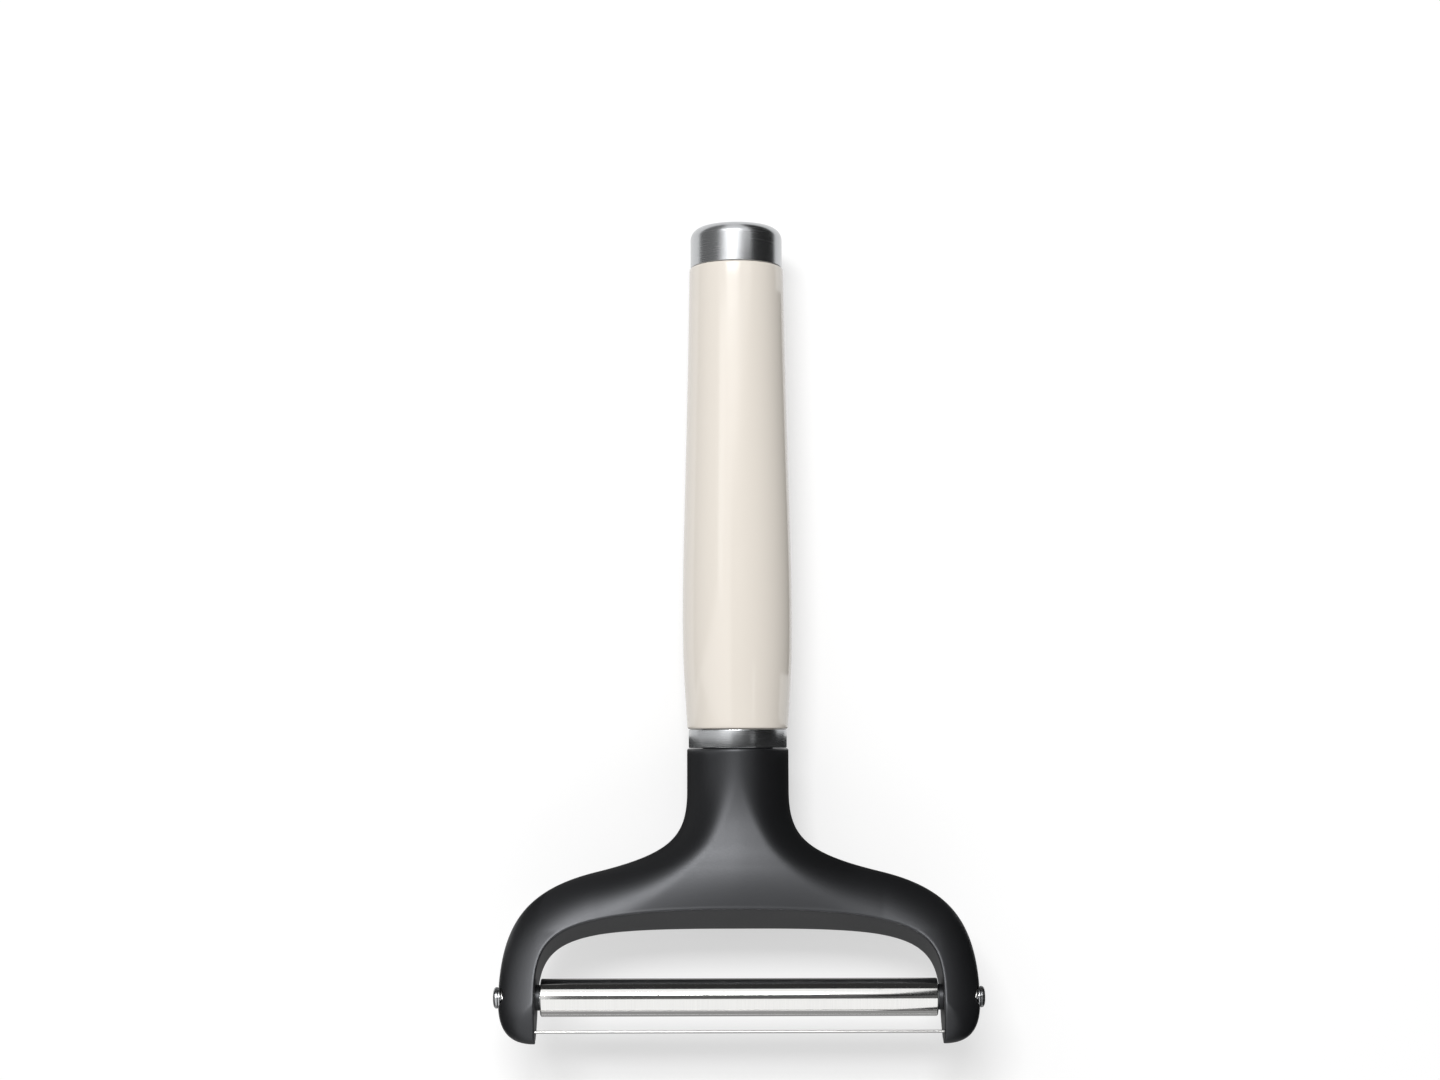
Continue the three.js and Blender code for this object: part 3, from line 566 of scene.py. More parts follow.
def cream_plastic(finish):
    """Glossy moulded plastic: cream, with faint flow tones along the handle and a slight orange peel."""
    material, graph = new_graph("cream_plastic_gloss")
    flow = graph.noise(70, (1, 0.25, 1))
    peel = graph.noise(380)
    tint = graph.mix(flow, scaled(finish.cream, 0.975), scaled(finish.cream, 1.02))
    surface(
        graph,
        Base_Color=tint,
        Roughness=finish.cream_roughness + (peel - 0.5) * 0.05 + (flow - 0.5) * 0.04,
        Specular_IOR_Level=0.7,
        Normal=graph.bump(peel, 0.12, CREAM_PEEL_DEPTH),
    )
    return material


def steel(name, tint, roughness, line_stretch, line_depth):
    """Steel with fine lines left by brushing, turning or drawing, a little uneven in tone and gloss."""
    material, graph = new_graph(name)
    lines = graph.noise(60, line_stretch, detail=4.0)
    clouds = graph.noise(90)
    surface(
        graph,
        Base_Color=graph.mix(lines * 0.7 + clouds * 0.3, scaled(tint, 0.94), scaled(tint, 1.06)),
        Metallic=1.0,
        Roughness=roughness * (0.85 + lines * 0.3) + (clouds - 0.5) * 0.03,
        Normal=graph.bump(lines, 0.25, line_depth),
    )
    return material


def satin_steel_handle(finish):
    """Brushed steel with its lines round the handle."""
    tint, roughness = finish.satin_steel, finish.satin_roughness
    return steel("satin_steel_handle", tint, roughness, (1, 160, 1), BRUSHED_LINE_DEPTH)


def satin_steel_axle(finish):
    """Turned steel with its lines round the roller's axle."""
    tint, roughness = finish.satin_steel, finish.satin_roughness
    return steel("satin_steel_axle", tint, roughness, (90, 8, 8), TURNED_LINE_DEPTH)


def polished_steel(finish):
    """Polished steel with faint lines round the roller."""
    tint, roughness = finish.bright_steel, finish.bright_roughness
    return steel("polished_steel_roller", tint, roughness, (70, 1, 1), BRUSHED_LINE_DEPTH)


def wire_steel(finish):
    """Drawn steel wire with fine lines along it."""
    tint = scaled(finish.bright_steel, 0.55)
    return steel("wire_steel_drawn", tint, finish.wire_roughness, (0.5, 90, 90), TURNED_LINE_DEPTH)


def inner_plastic(finish):
    """Plain moulded plastic that only shows when the handle is apart."""
    material, graph = new_graph("inner_plastic_moulded")
    grain = graph.noise(1500)
    surface(
        graph,
        Base_Color=graph.mix(grain, scaled(finish.inner_plastic, 0.9), scaled(finish.inner_plastic, 1.1)),
        Roughness=finish.inner_roughness + (grain - 0.5) * 0.1,
        Normal=graph.bump(grain, 0.2, INNER_GRAIN_DEPTH),
    )
    return material


def on_yoke(x, s, n):
    """A point x across, s down the bent middle line and n out of the front. The middle line is straight,
    then an arc of the bend's length that turns by the head's tilt, then straight again."""
    half_bend = BEND_LENGTH / 2
    radius = BEND_LENGTH / HEAD_TILT
    angle = (np.clip(s, -half_bend, half_bend) + half_bend) / radius
    before = np.minimum(s + half_bend, 0)
    after = np.maximum(s - half_bend, 0)
    back = before + radius * np.sin(angle) + after * math.cos(HEAD_TILT)
    rise = radius * (1 - np.cos(angle)) + after * math.sin(HEAD_TILT)
    y = HEEL_S + half_bend - back + n * np.sin(angle)
    z = HANDLE_Z + rise + n * np.cos(angle)
    return np.stack([x, y, z], axis=-1)


def on_head(x, up, out):
    """A point in the head's straight frame, from the middle of the roller: x across, up towards the neck
    and out of the front."""
    up_axis = np.array([0, math.cos(HEAD_TILT), -math.sin(HEAD_TILT)])
    out_axis = np.array([0, math.sin(HEAD_TILT), math.cos(HEAD_TILT)])
    place = (np.asarray(v, float)[..., None] for v in (x, up, out))
    return sum((a * b for a, b in zip(place, (X_AXIS, up_axis, out_axis))), ROLLER_CENTRE)


def distance_to_line(points, line):
    """Distance from each point to the nearest segment of a polyline, in blocks of points."""
    start = line[:-1]
    side = np.diff(line, axis=0)
    side_squared = np.maximum((side**2).sum(1), 1e-18)
    nearest = []
    for some in np.array_split(points, len(points) // DISTANCE_BLOCK + 1):
        offset = some[:, None] - start
        along = np.clip((offset * side).sum(2) / side_squared, 0, 1)
        nearest.append(np.sqrt(((offset - along[..., None] * side) ** 2).sum(2).min(1)))
    return np.concatenate(nearest)


def roller_to_wire():
    """From the roller's axis to the wire's, down the head."""
    tube_radius = (TUBE_HIGH.z - TUBE_LOW.z) / 2
    return tube_radius + SLICE_GAP + bpy.context.scene.slicer_roller.wire_radius


class YokeOutline:
    """The yoke's outline in its own plane: the curves of its right half as (x, s)."""

    def __init__(self, sizes):
        self.sizes = sizes
        neck, outer = sizes.neck_radius, sizes.arm_outer
        self.inner_x = outer - sizes.arm_width
        self.tip_s = ROLLER_S + roller_to_wire() + WIRE_TO_TIP
        flare_corner = (neck, SHOULDER_S - (SHOULDER_X - neck) * SHOULDER_SLOPE)
        arm_corner = (outer, SHOULDER_S + (outer - SHOULDER_X) * SHOULDER_SLOPE)
        shoulder, arm = (SHOULDER_X, SHOULDER_S), (outer, ROLLER_S)
        inner_arm, inner_tip = (self.inner_x, ROLLER_S), (self.inner_x, self.tip_s)
        self.flare = corner_controls((neck, FLARE_START_S), flare_corner, shoulder, FLARE_PULL, FLARE_PULL)
        self.shoulder = corner_controls(shoulder, arm_corner, arm, SHOULDER_PULL, ARM_PULL)
        self.tip = corner_controls(arm, (outer, self.tip_s), inner_tip, TIP_PULL, TIP_PULL)
        arch_corner = (self.inner_x, ARCH_S)
        self.arch = corner_controls((0, ARCH_S), arch_corner, inner_arm, ARCH_CROWN_PULL, ARCH_SIDE_PULL)
        self.inner_arm, self.inner_tip = np.array(inner_arm), np.array(inner_tip)
        self.rim = np.concatenate(
            [
                [(neck, NECK_END_S)],
                bezier(self.flare, np.linspace(0, 1, FLARE_ROWS * RIM_REFINEMENT + 1)),
                bezier(self.shoulder, np.linspace(0, 1, SHOULDER_COLUMNS * RIM_REFINEMENT + 1)[1:]),
                bezier(self.tip, np.linspace(0, 1, TIP_COLUMNS * RIM_REFINEMENT + 1)[1:]),
            ]
        )

    def arch_parameter(self, x):
        """The arch curve's parameter at a given x, read off a fine table of the curve."""
        t = np.linspace(0, 1, ARCH_TABLE_STEPS + 1)
        return np.interp(x, bezier(self.arch, t)[:, 0], t)

    def columns(self):
        """Columns of the right half's skin, from the middle to the tip: where each starts, on the line
        between the shoulders or on the rim, and where it ends on the inner edge."""
        centre_x = SHOULDER_X * np.sin(np.linspace(0, QUARTER, CENTRE_COLUMNS + 1))
        line = np.stack([centre_x, np.full_like(centre_x, SHOULDER_S)], 1)
        shoulder_t = np.linspace(0, 1, SHOULDER_COLUMNS + 1)[1:]
        tip_t = np.linspace(0, 1, TIP_COLUMNS + 1)[1:]
        first_t = self.arch_parameter(SHOULDER_X)
        outer = [line, bezier(self.shoulder, shoulder_t), bezier(self.tip, tip_t)]
        inner = [
            bezier(self.arch, self.arch_parameter(centre_x)),
            bezier(self.arch, lerp(first_t, 1, shoulder_t)),
            lerp(self.inner_arm, self.inner_tip, tip_t[:, None]),
        ]
        return np.concatenate(outer), np.concatenate(inner)

    def half_depth(self, x, s):
        """Half the yoke's depth: crown * sqrt(1 - inset^2), where inset falls from 1 at the rim to 0 a
        rounding's reach inside it. That reach grows with the square of x towards the shoulders. The crown
        is as deep as the neck's radius, less a smooth step past the bend and a square that grows towards
        the arch. Both go over to the arms' own values by a power of x."""
        sizes = self.sizes
        points = np.stack([np.abs(x), s], -1).reshape(-1, 2)
        from_rim = distance_to_line(points, self.rim).reshape(x.shape)
        to_arm = np.minimum(np.abs(x) / self.inner_x, 1) ** ARM_POWER
        to_arch = smoothstep(s, ROUNDING_FROM_S, ROUNDING_TO_S)
        to_side = np.minimum(np.abs(x) / SHOULDER_X, 1) ** 2
        arch_rounding = lerp(sizes.rounding, sizes.side_rounding, to_side)
        rounding = lerp(lerp(sizes.neck_radius, arch_rounding, to_arch), sizes.arm_rounding, to_arm)
        bend_ease = BEND_EASE * smoothstep(s, BEND_EASE_FROM_S, BEND_EASE_TO_S)
        past_bend = np.clip(s, CROWN_FALL_S, CROWN_FALL_END_S) - CROWN_FALL_S
        fall = CROWN_FALL * (past_bend / (ARCH_S - CROWN_FALL_S)) ** 2
        crown = lerp(sizes.neck_radius - bend_ease - fall, sizes.arm_depth, to_arm)
        inset = 1 - np.minimum(from_rim / rounding, 1)
        return crown * np.sqrt(np.maximum(0, 1 - inset**2))


def heel_scale(s, neck_radius):
    """The back's depth over the front's: deeper under the neck by a squared cosine, so that it rests
    flat."""
    reach = np.clip((s - HEEL_S) / (HEEL_LENGTH / 2), -1, 1)
    drop = HANDLE_Z - neck_radius + HEEL_CUT
    return 1 + drop / neck_radius * np.cos(reach * QUARTER) ** 2


def mirrored(points):
    """Points of the right half with their mirror images in x before them, the middle one once."""
    left = points[:0:-1] * np.array([-1, 1])
    return np.concatenate([left, points])


def head_loops(outline):
    """The head's skin as (x, s, n): each column runs over the front from the outer end to the inner edge,
    round a small arc, down the inner face, round the back's arc and over the back again."""
    outer, inner = (mirrored(p) for p in outline.columns())
    span = np.linalg.norm(inner - outer, axis=1)
    edge = np.minimum(outline.sizes.inner_edge, span * EDGE_SHARE)
    reach = np.divide(edge, span, out=np.zeros_like(span), where=span > 0)
    rows = 1 - np.cos(np.linspace(0, QUARTER, DEPTH_ROWS + 1))
    cover = rows[None] * (1 - reach)[:, None]
    flat = lerp(outer[:, None], inner[:, None], cover[..., None])
    front = outline.half_depth(flat[..., 0], flat[..., 1])
    front[:, 0] = np.where(np.abs(outer[:, 0]) < SHOULDER_X, front[:, 0], 0)
    back = front * heel_scale(flat[..., 1], outline.sizes.neck_radius)
    turn = np.linspace(0, QUARTER, EDGE_ROWS + 1)[None, 1:]
    arc_cover = 1 - reach[:, None] * (1 - np.sin(turn))
    arc_flat = lerp(outer[:, None], inner[:, None], arc_cover[..., None])
    ends = (depth[:, -1:] for depth in (front, back))
    arc_front, arc_back = (
        end - np.minimum(edge[:, None], end * EDGE_SHARE) * (1 - np.cos(turn)) for end in ends
    )
    down = np.linspace(0, 1, INNER_ROWS + 1)[None, 1:-1]
    face = lerp(arc_front[:, -1:], -arc_back[:, -1:], down)
    face_flat = np.repeat(arc_flat[:, -1:], face.shape[1], axis=1)
    plane = np.concatenate([flat, arc_flat, face_flat, arc_flat[:, ::-1], flat[:, ::-1]], axis=1)
    depth = np.concatenate([front, arc_front, face, -arc_back[:, ::-1], -back[:, ::-1]], axis=1)
    return plane[..., 0], plane[..., 1], depth


def neck_rings(outline):
    """The neck's skin as (x, s, n), front then back: rows down the neck and the flare, columns by share of
    the half width. The first rows turn in round the neck's end by a small arc."""
    radius, edge = outline.sizes.neck_radius, outline.sizes.neck_edge
    fractions = np.sin(np.linspace(-QUARTER, QUARTER, 2 * CENTRE_COLUMNS + 1))
    turn = np.linspace(0, QUARTER, EDGE_ROWS + 1)
    neck_s = np.linspace(NECK_END_S + edge, FLARE_START_S, NECK_ROWS + 1)[1:-1]
    flare = bezier(outline.flare, np.linspace(0, 1, FLARE_ROWS + 1))
    s = np.concatenate([NECK_END_S + edge * (1 - np.cos(turn)), neck_s, flare[:, 1]])
    width = np.concatenate([np.full(len(turn) + len(neck_s), radius), flare[:, 0]])
    shrink = np.ones_like(s)
    shrink[: len(turn)] = 1 - edge / radius * (1 - np.sin(turn))
    x = fractions[:, None] * width[None]
    s = np.repeat(s[None], len(fractions), axis=0)
    depth = outline.half_depth(x, s)
    depth[[0, -1]] = 0
    back = depth * heel_scale(s, radius)
    return x * shrink, s, depth * shrink, back * shrink


def rested(points):
    """Nothing lies below the surface that the slicer rests on: z becomes (z + w)^2 / 4w within w of it,
    and 0 further below."""
    z = points[..., 2]
    eased = np.clip(z + HEEL_BLEND, 0, 2 * HEEL_BLEND) ** 2 / (4 * HEEL_BLEND)
    points[..., 2] = np.where(z > HEEL_BLEND, z, eased)
    return points


def yoke_skin(sizes):
    """The yoke's closed skin: the head's loops, the neck's front and back, and the neck's flat end."""
    outline = YokeOutline(sizes)
    head = rested(on_yoke(*head_loops(outline)))
    x, s, front, back = neck_rings(outline)
    neck_front = rested(on_yoke(x, s, front))
    neck_back = rested(on_yoke(x, s, -back))
    end = np.stack([neck_front[:, 0], neck_back[:, 0]], axis=1)
    grids = [head, neck_front, neck_back, end]
    return joined(*[(g.reshape(-1, 3), grid_faces(*g.shape[:2])) for g in grids])


def bar(origin, along, across, radius, low, high, segments=SMALL_SEGMENTS):
    """A round bar between two heights along an axis."""
    profile = np.array([(0, low), (radius, low), (radius, high), (0, high)])
    return turned(profile, origin, along, across, segments, closed=False)


def block(centre, half_sizes):
    """A six-sided block: two square rings carried along its longest axis and closed on it."""
    corners = np.array([(1, 1), (-1, 1), (-1, -1), (1, -1)]) * np.array([half_sizes[0], half_sizes[2]])
    path = np.array(centre) + np.array([[0, -half_sizes[1], 0], [0, half_sizes[1], 0]])
    return swept(path, np.repeat(X_AXIS[None], 2, axis=0), np.repeat(corners[None] * (1, -1), 2, axis=0))


def arm_places():
    """The right arm's boss face, counterbore floor and wire loop along x, then the loop's radius and the
    wire's height from the roller's axis."""
    sizes = bpy.context.scene.slicer_yoke
    wire = bpy.context.scene.slicer_roller.wire_radius
    boss_face = sizes.arm_outer - sizes.arm_width - BOSS_HEIGHT
    counterbore = sizes.arm_outer - COUNTERBORE_DEPTH
    loop_x = WASHER_LOW.x - (WASHER_LOW.x - counterbore) / 2
    loop_radius = AXLE_SCREW_RADIUS + THREAD_FIT + wire
    return boss_face, counterbore, loop_x, loop_radius, -roller_to_wire()


class SLICER_OT_add_yoke(bpy.types.Operator):
    """Add the moulded yoke: neck, arch, arms and the tang inside the handle"""

    bl_idname = "slicer.add_yoke"
    bl_label = "Yoke"

    def execute(self, context):
        scene = context.scene
        piece = closed_object("yoke_moulding", *yoke_skin(scene.slicer_yoke))
        for side in SIDES.values():
            self.fit_arm(piece, side, scene)
        self.add_tang(piece)
        finished(piece, black_nylon(scene.slicer_finish), "slicer", "black_nylon", "yoke")
        return {"FINISHED"}

    def fit_arm(self, piece, side, scene):
        """An arm's boss beside the roller, its screw hole and counterbore, and the hole that the wire goes
        into."""
        boss_face, counterbore, _, loop_radius, wire_up = arm_places()
        arm_outer = scene.slicer_yoke.arm_outer
        beyond = arm_outer + WIRE_BEND_INSET
        bend_start = arm_outer - WIRE_BEND_INSET - WIRE_BEND_RADIUS
        screw_hole = AXLE_SCREW_RADIUS + THREAD_FIT
        wire_hole = scene.slicer_roller.wire_radius + SLIP_FIT
        wire_place = on_head(0.0, wire_up, loop_radius)
        fits = [
            ("UNION", ROLLER_CENTRE, BOSS_RADIUS, boss_face, boss_face + 2 * BOSS_HEIGHT),
            ("DIFFERENCE", ROLLER_CENTRE, screw_hole, boss_face - BOSS_HEIGHT, beyond),
            ("DIFFERENCE", ROLLER_CENTRE, COUNTERBORE_RADIUS, counterbore, beyond),
            ("DIFFERENCE", wire_place, wire_hole, boss_face, bend_start),
        ]
        for operation, centre, radius, low, high in fits:
            combine(piece, operation, *bar(centre, side * X_AXIS, Y_AXIS, radius, low, high))

    def add_tang(self, piece):
        """The round spigot through the collar and the cored cross that ends below the sleeve's web."""
        axis = np.array([0, 0, HANDLE_Z])
        neck_end = HEEL_S - NECK_END_S
        spigot_top = SLEEVE_LOW.y + SPIGOT_DEPTH
        top = YOKE_HIGH.y
        rib_half = math.sqrt(SPIGOT_RADIUS**2 - (TANG_RIB_THICKNESS / 2) ** 2)
        middle = (0, (neck_end + top) / 2, HANDLE_Z)
        half_height = (top - neck_end) / 2
        solids = [
            bar(axis, Y_AXIS, X_AXIS, SPIGOT_RADIUS, neck_end - TANG_OVERLAP, spigot_top, HANDLE_SEGMENTS),
            bar(axis, Y_AXIS, X_AXIS, TANG_CORE_RADIUS, neck_end, top),
            block(middle, (rib_half, half_height, TANG_RIB_THICKNESS / 2)),
            block(middle, (TANG_RIB_THICKNESS / 2, half_height, rib_half)),
        ]
        for solid in solids:
            combine(piece, "UNION", *solid)
        pilot = bar(axis, Y_AXIS, X_AXIS, PILOT_RADIUS, top - PILOT_DEPTH, top + DRILL_MARGIN)
        combine(piece, "DIFFERENCE", *pilot)


def sleeve_profile(sizes):
    """The sleeve's section as (r, h) from its foot: two Bezier curves that meet at the belly, a small arc
    at each end, and the bore with the web that the sleeve's screw draws down."""
    top = SLEEVE_HIGH.y - SLEEVE_LOW.y
    foot, belly, mouth = sizes.foot_radius, sizes.belly_radius, sizes.top_radius
    edge, height = sizes.sleeve_edge, sizes.belly_height
    above = top - height
    web = top - SLEEVE_WEB_DEPTH
    t = np.linspace(0, 1, CURVE_STEPS + 1)[1:]
    rise = [(foot, edge), (lerp(foot, belly, 1 / 2), height / 3), (belly, height / 2), (belly, height)]
    fall = [
        (belly, height),
        (belly, height + above / 5),
        (lerp(mouth, belly, 1 / 3), top - above / 2),
        (mouth, top - edge),
    ]
    bore = [
        (SLEEVE_BORE_RADIUS, top),
        (SLEEVE_BORE_RADIUS, web),
        (SLEEVE_WEB_HOLE, web),
        (SLEEVE_WEB_HOLE, web - SLEEVE_WEB_THICKNESS),
        (SLEEVE_BORE_RADIUS, web - SLEEVE_WEB_THICKNESS),
        (SLEEVE_BORE_RADIUS, 0),
    ]
    foot_edge = arc((foot - edge, edge), edge, -QUARTER, 0)
    mouth_edge = arc((mouth - edge, top - edge), edge, 0, QUARTER)[1:]
    return np.concatenate([foot_edge, bezier(rise, t), bezier(fall, t), mouth_edge, bore])


class SLICER_OT_add_sleeve(bpy.types.Operator):
    """Add the cream sleeve of the handle"""

    bl_idname = "slicer.add_sleeve"
    bl_label = "Handle sleeve"

    def execute(self, context):
        scene = context.scene
        piece = round_the_handle("sleeve_moulding", sleeve_profile(scene.slicer_handle), SLEEVE_LOW.y)
        finished(piece, cream_plastic(scene.slicer_finish), "slicer", "cream_plastic", "handle_sleeve")
        return {"FINISHED"}


def ring_profile(bore, radius, low, high, bore_edge, rim_edge):
    """A ring's section as (r, h) with its edges rounded."""
    corners = [(bore, low, bore_edge), (radius, low, rim_edge), (radius, high, rim_edge)]
    return rounded([*corners, (bore, high, bore_edge)])


def cap_profile(sizes):
    """The cap's section as (r, h) from its open edge, inside then outside, from the axis to the axis."""
    radius = (CAP_HIGH.x - CAP_LOW.x) / 2
    top = CAP_HIGH.y - CAP_LOW.y
    corner, wall, edge = sizes.cap_corner, sizes.cap_wall, sizes.cap_edge
    corners = [
        (0, top - wall, 0),
        (radius - wall, top - wall, corner - wall),
        (radius - wall, 0, edge),
        (radius, 0, edge),
        (radius, top, corner),
        (0, top, 0),
    ]
    return rounded(corners, 3 * FILLET_STEPS)


class SLICER_OT_add_collar_and_cap(bpy.types.Operator):
    """Add the handle's steel collar and end cap"""

    bl_idname = "slicer.add_collar_and_cap"
    bl_label = "Collar and end cap"

    def execute(self, context):
        sizes = context.scene.slicer_handle
        steel_finish = satin_steel_handle(context.scene.slicer_finish)
        radius = (COLLAR_HIGH.x - COLLAR_LOW.x) / 2
        height = COLLAR_HIGH.y - COLLAR_LOW.y
        ring = ring_profile(COLLAR_BORE_RADIUS, radius, 0, height, 0, sizes.collar_edge)
        collar = round_the_handle("collar_ring", ring, COLLAR_LOW.y)
        finished(collar, steel_finish, "slicer", "satin_steel", "neck_collar")
        cap = round_the_handle("cap_cup", cap_profile(sizes), CAP_LOW.y, closed=False)
        finished(cap, steel_finish, "slicer", "satin_steel", "end_cap")
        return {"FINISHED"}


class SLICER_OT_add_roller(bpy.types.Operator):
    """Add the roller: its polished tube and the bush in each end"""

    bl_idname = "slicer.add_roller"
    bl_label = "Roller"

    def execute(self, context):
        sizes = context.scene.slicer_roller
        radius = (TUBE_HIGH.z - TUBE_LOW.z) / 2
        half = (TUBE_HIGH.x - TUBE_LOW.x) / 2
        section = ring_profile(radius - sizes.tube_wall, radius, -half, half, 0, sizes.tube_edge)
        tube = round_the_axle("roller_barrel", section, 1, ROLLER_SEGMENTS)
        polished = polished_steel(context.scene.slicer_finish)
        finished(tube, polished, "roller", "polished_steel", "roller_tube")
        outer = (BUSH_HIGH.z - BUSH_LOW.z) / 2
        inner = (ROD_HIGH.z - ROD_LOW.z) / 2 + BUSH_CLEARANCE
        ring = ring_profile(inner, outer, BUSH_LOW.x, BUSH_HIGH.x, sizes.small_edge, sizes.small_edge)
        nylon = bpy.data.materials["black_nylon_moulded"]
        for name, side in SIDES.items():
            bush = round_the_axle(f"bush_{name}", ring, side, ROLLER_SEGMENTS)
            finished(bush, nylon, "roller", "black_nylon", f"roller_bush_{name}")
        return {"FINISHED"}


def half_wire(arm_outer):
    """The wire's right half, from the middle, as rows of (x, up, out, spoke up, spoke out) in the head's
    frame: straight to the arm, round a bend, up the arm's leg and round the screw in an open circle. The
    spoke is the direction from the screw's axis, or straight out of the front before the circle."""
    _, _, loop_x, loop_radius, wire_up = arm_places()
    bend_centre = (arm_outer - WIRE_BEND_INSET - WIRE_BEND_RADIUS, wire_up + WIRE_BEND_RADIUS)
    bend = arc(bend_centre, WIRE_BEND_RADIUS, -QUARTER, 0, WIRE_BEND_STEPS)
    leg_t = np.linspace(0, 1, WIRE_LEG_STEPS + 1)[1:-1, None]
    span_t = np.linspace(0, 1, WIRE_SPAN_STEPS + 1)[:-1, None]
    span = lerp(np.array([0, wire_up]), bend[0], span_t)
    leg = lerp(bend[-1], np.array([loop_x, 0]), leg_t)
    plane = np.concatenate([span, bend, leg])
    straight = np.insert(plane, [2, 2, 2], (loop_radius, 0, 1), axis=1)
    turn = np.linspace(0, WIRE_LOOP_TURN, WIRE_LOOP_STEPS + 1)
    up, out = np.sin(turn), np.cos(turn)
    loop = np.column_stack([np.full_like(turn, loop_x), loop_radius * up, loop_radius * out, up, out])
    return np.concatenate([straight, loop])


class SLICER_OT_add_wire(bpy.types.Operator):
    """Add the cutting wire, taut between the arms and looped round both axle screws"""

    bl_idname = "slicer.add_wire"
    bl_label = "Cutting wire"

    def execute(self, context):
        scene = context.scene
        right = half_wire(scene.slicer_yoke.arm_outer)
        left = right[:0:-1] * np.array([-1, 1, 1, 1, 1])
        x, up, out, spoke_up, spoke_out = np.concatenate([left, right]).T
        path = on_head(x, up, out)
        across = on_head(np.zeros_like(x), spoke_up, spoke_out) - ROLLER_CENTRE
        angle = np.linspace(0, 2 * math.pi, WIRE_SIDES, endpoint=False)
        ring = scene.slicer_roller.wire_radius * np.stack([np.cos(angle), np.sin(angle)], 1)
        sections = np.repeat(ring[None], len(path), axis=0)
        piece = closed_object("wire_strand", *swept(path, across, sections))
        finished(piece, wire_steel(scene.slicer_finish), "slicer", "wire_steel", "cutting_wire")
        return {"FINISHED"}


class SLICER_OT_add_fasteners(bpy.types.Operator):
    """Add the axle screws and wire washers on both arms"""

    bl_idname = "slicer.add_fasteners"
    bl_label = "Axle screws and washers"

    def execute(self, context):
        sizes = context.scene.slicer_roller
        steel_finish = satin_steel_axle(context.scene.slicer_finish)
        hole = AXLE_SCREW_RADIUS + THREAD_FIT
        rim = (WASHER_HIGH.z - WASHER_LOW.z) / 2
        ring = ring_profile(hole, rim, WASHER_LOW.x, WASHER_HIGH.x, sizes.small_edge, sizes.small_edge)
        for name, side in SIDES.items():
            washer = round_the_axle(f"washer_{name}", ring, side, SMALL_SEGMENTS)
            finished(washer, steel_finish, "slicer", "satin_steel", f"wire_washer_{name}")
            screw = self.screw(f"screw_{name}", side, sizes)
            finished(screw, steel_finish, "slicer", "satin_steel", f"axle_screw_{name}")
        return {"FINISHED"}

    def screw(self, name, side, sizes):
        """A pan head screw: its turned profile, with a cross recess cut into the head."""
        head = (SCREW_HIGH.z - SCREW_LOW.z) / 2
        tip, top = SCREW_LOW.x, SCREW_HIGH.x
        seat = WASHER_HIGH.x + SCREW_SEAT_GAP
        shank, rim = AXLE_SCREW_RADIUS, seat + sizes.screw_rim
        shoulder = (head * CROWN_SHOULDER_WIDTH, lerp(rim, top, CROWN_SHOULDER_HEIGHT))
        flat = (head * CROWN_FLAT_WIDTH, top)
        crown = bezier([(head, rim), shoulder, flat, (0, top)], np.linspace(0, 1, CROWN_STEPS + 1))
        below = [
            (0, tip),
            (shank * SCREW_TIP_WIDTH, tip),
            (shank, tip + shank),
            (shank, seat),
            (head - SCREW_HEAD_BEVEL, seat),
            (head, seat + SCREW_HEAD_BEVEL),
        ]
        profile = np.concatenate([below, crown])
        piece = round_the_axle(name, profile, side, SMALL_SEGMENTS, closed=False)
        combine(piece, "DIFFERENCE", *self.recess(side, sizes, top))
        return piece

    def recess(self, side, sizes, top):
        """A cross outline carried into the head and narrowed towards its end."""
        reach, width = sizes.recess_reach, sizes.recess_width
        quarter = np.array([(reach, -width), (reach, width), (width, width)])
        turns = np.arange(4) * QUARTER
        spin = np.stack([[np.cos(turns), -np.sin(turns)], [np.sin(turns), np.cos(turns)]])
        outline = np.einsum("abk,cb->kca", spin, quarter).reshape(-1, 2)
        heights = np.concatenate([[RECESS_MARGIN], -sizes.recess_depth * RECESS_DEPTHS])
        path = ROLLER_CENTRE + side * (top + heights)[:, None] * X_AXIS
        sections = outline[None] * RECESS_WIDTHS[:, None, None]
        return swept(path, np.repeat(Y_AXIS[None], len(path), axis=0), sections)


class SLICER_OT_finish_inner_nodes(bpy.types.Operator):
    """Give the CAD pieces that stay, inside the handle and the roller, their materials"""

    bl_idname = "slicer.finish_inner_nodes"
    bl_label = "Inner pieces"

    def execute(self, context):
        materials = {
            "sleeve_screw": bpy.data.materials["satin_steel_handle"],
            "sleeve_washer": bpy.data.materials["satin_steel_handle"],
            "axle_rod": bpy.data.materials["satin_steel_axle"],
            "cap_plug": inner_plastic(context.scene.slicer_finish),
        }
        for node, material in materials.items():
            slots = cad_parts[node].data.materials
            slots.clear()
            slots.append(material)
        return {"FINISHED"}


def flat_sheet(name, corners, material):
    """A flat sheet of the studio between its corners."""
    mesh = bpy.data.meshes.new(name)
    mesh.from_pydata(corners, [], [range(len(corners))])
    mesh.materials.append(material)
    sheet = bpy.data.objects.new(name, mesh)
    bpy.context.scene.collection.objects.link(sheet)
    return sheet


def panel(name, corners, brightness):
    """A flat studio panel that only reflections see, with an even brightness."""
    material, graph = new_graph(name)
    light = graph.node("ShaderNodeEmission", inputs={"Color": (1, 1, 1, 1), "Strength": brightness})
    graph.node("ShaderNodeOutputMaterial", inputs={"Surface": light})
    sheet = flat_sheet(name, corners, material)
    sheet.visible_camera = False
    sheet.visible_diffuse = False
    sheet.visible_shadow = False
    sheet.visible_transmission = False


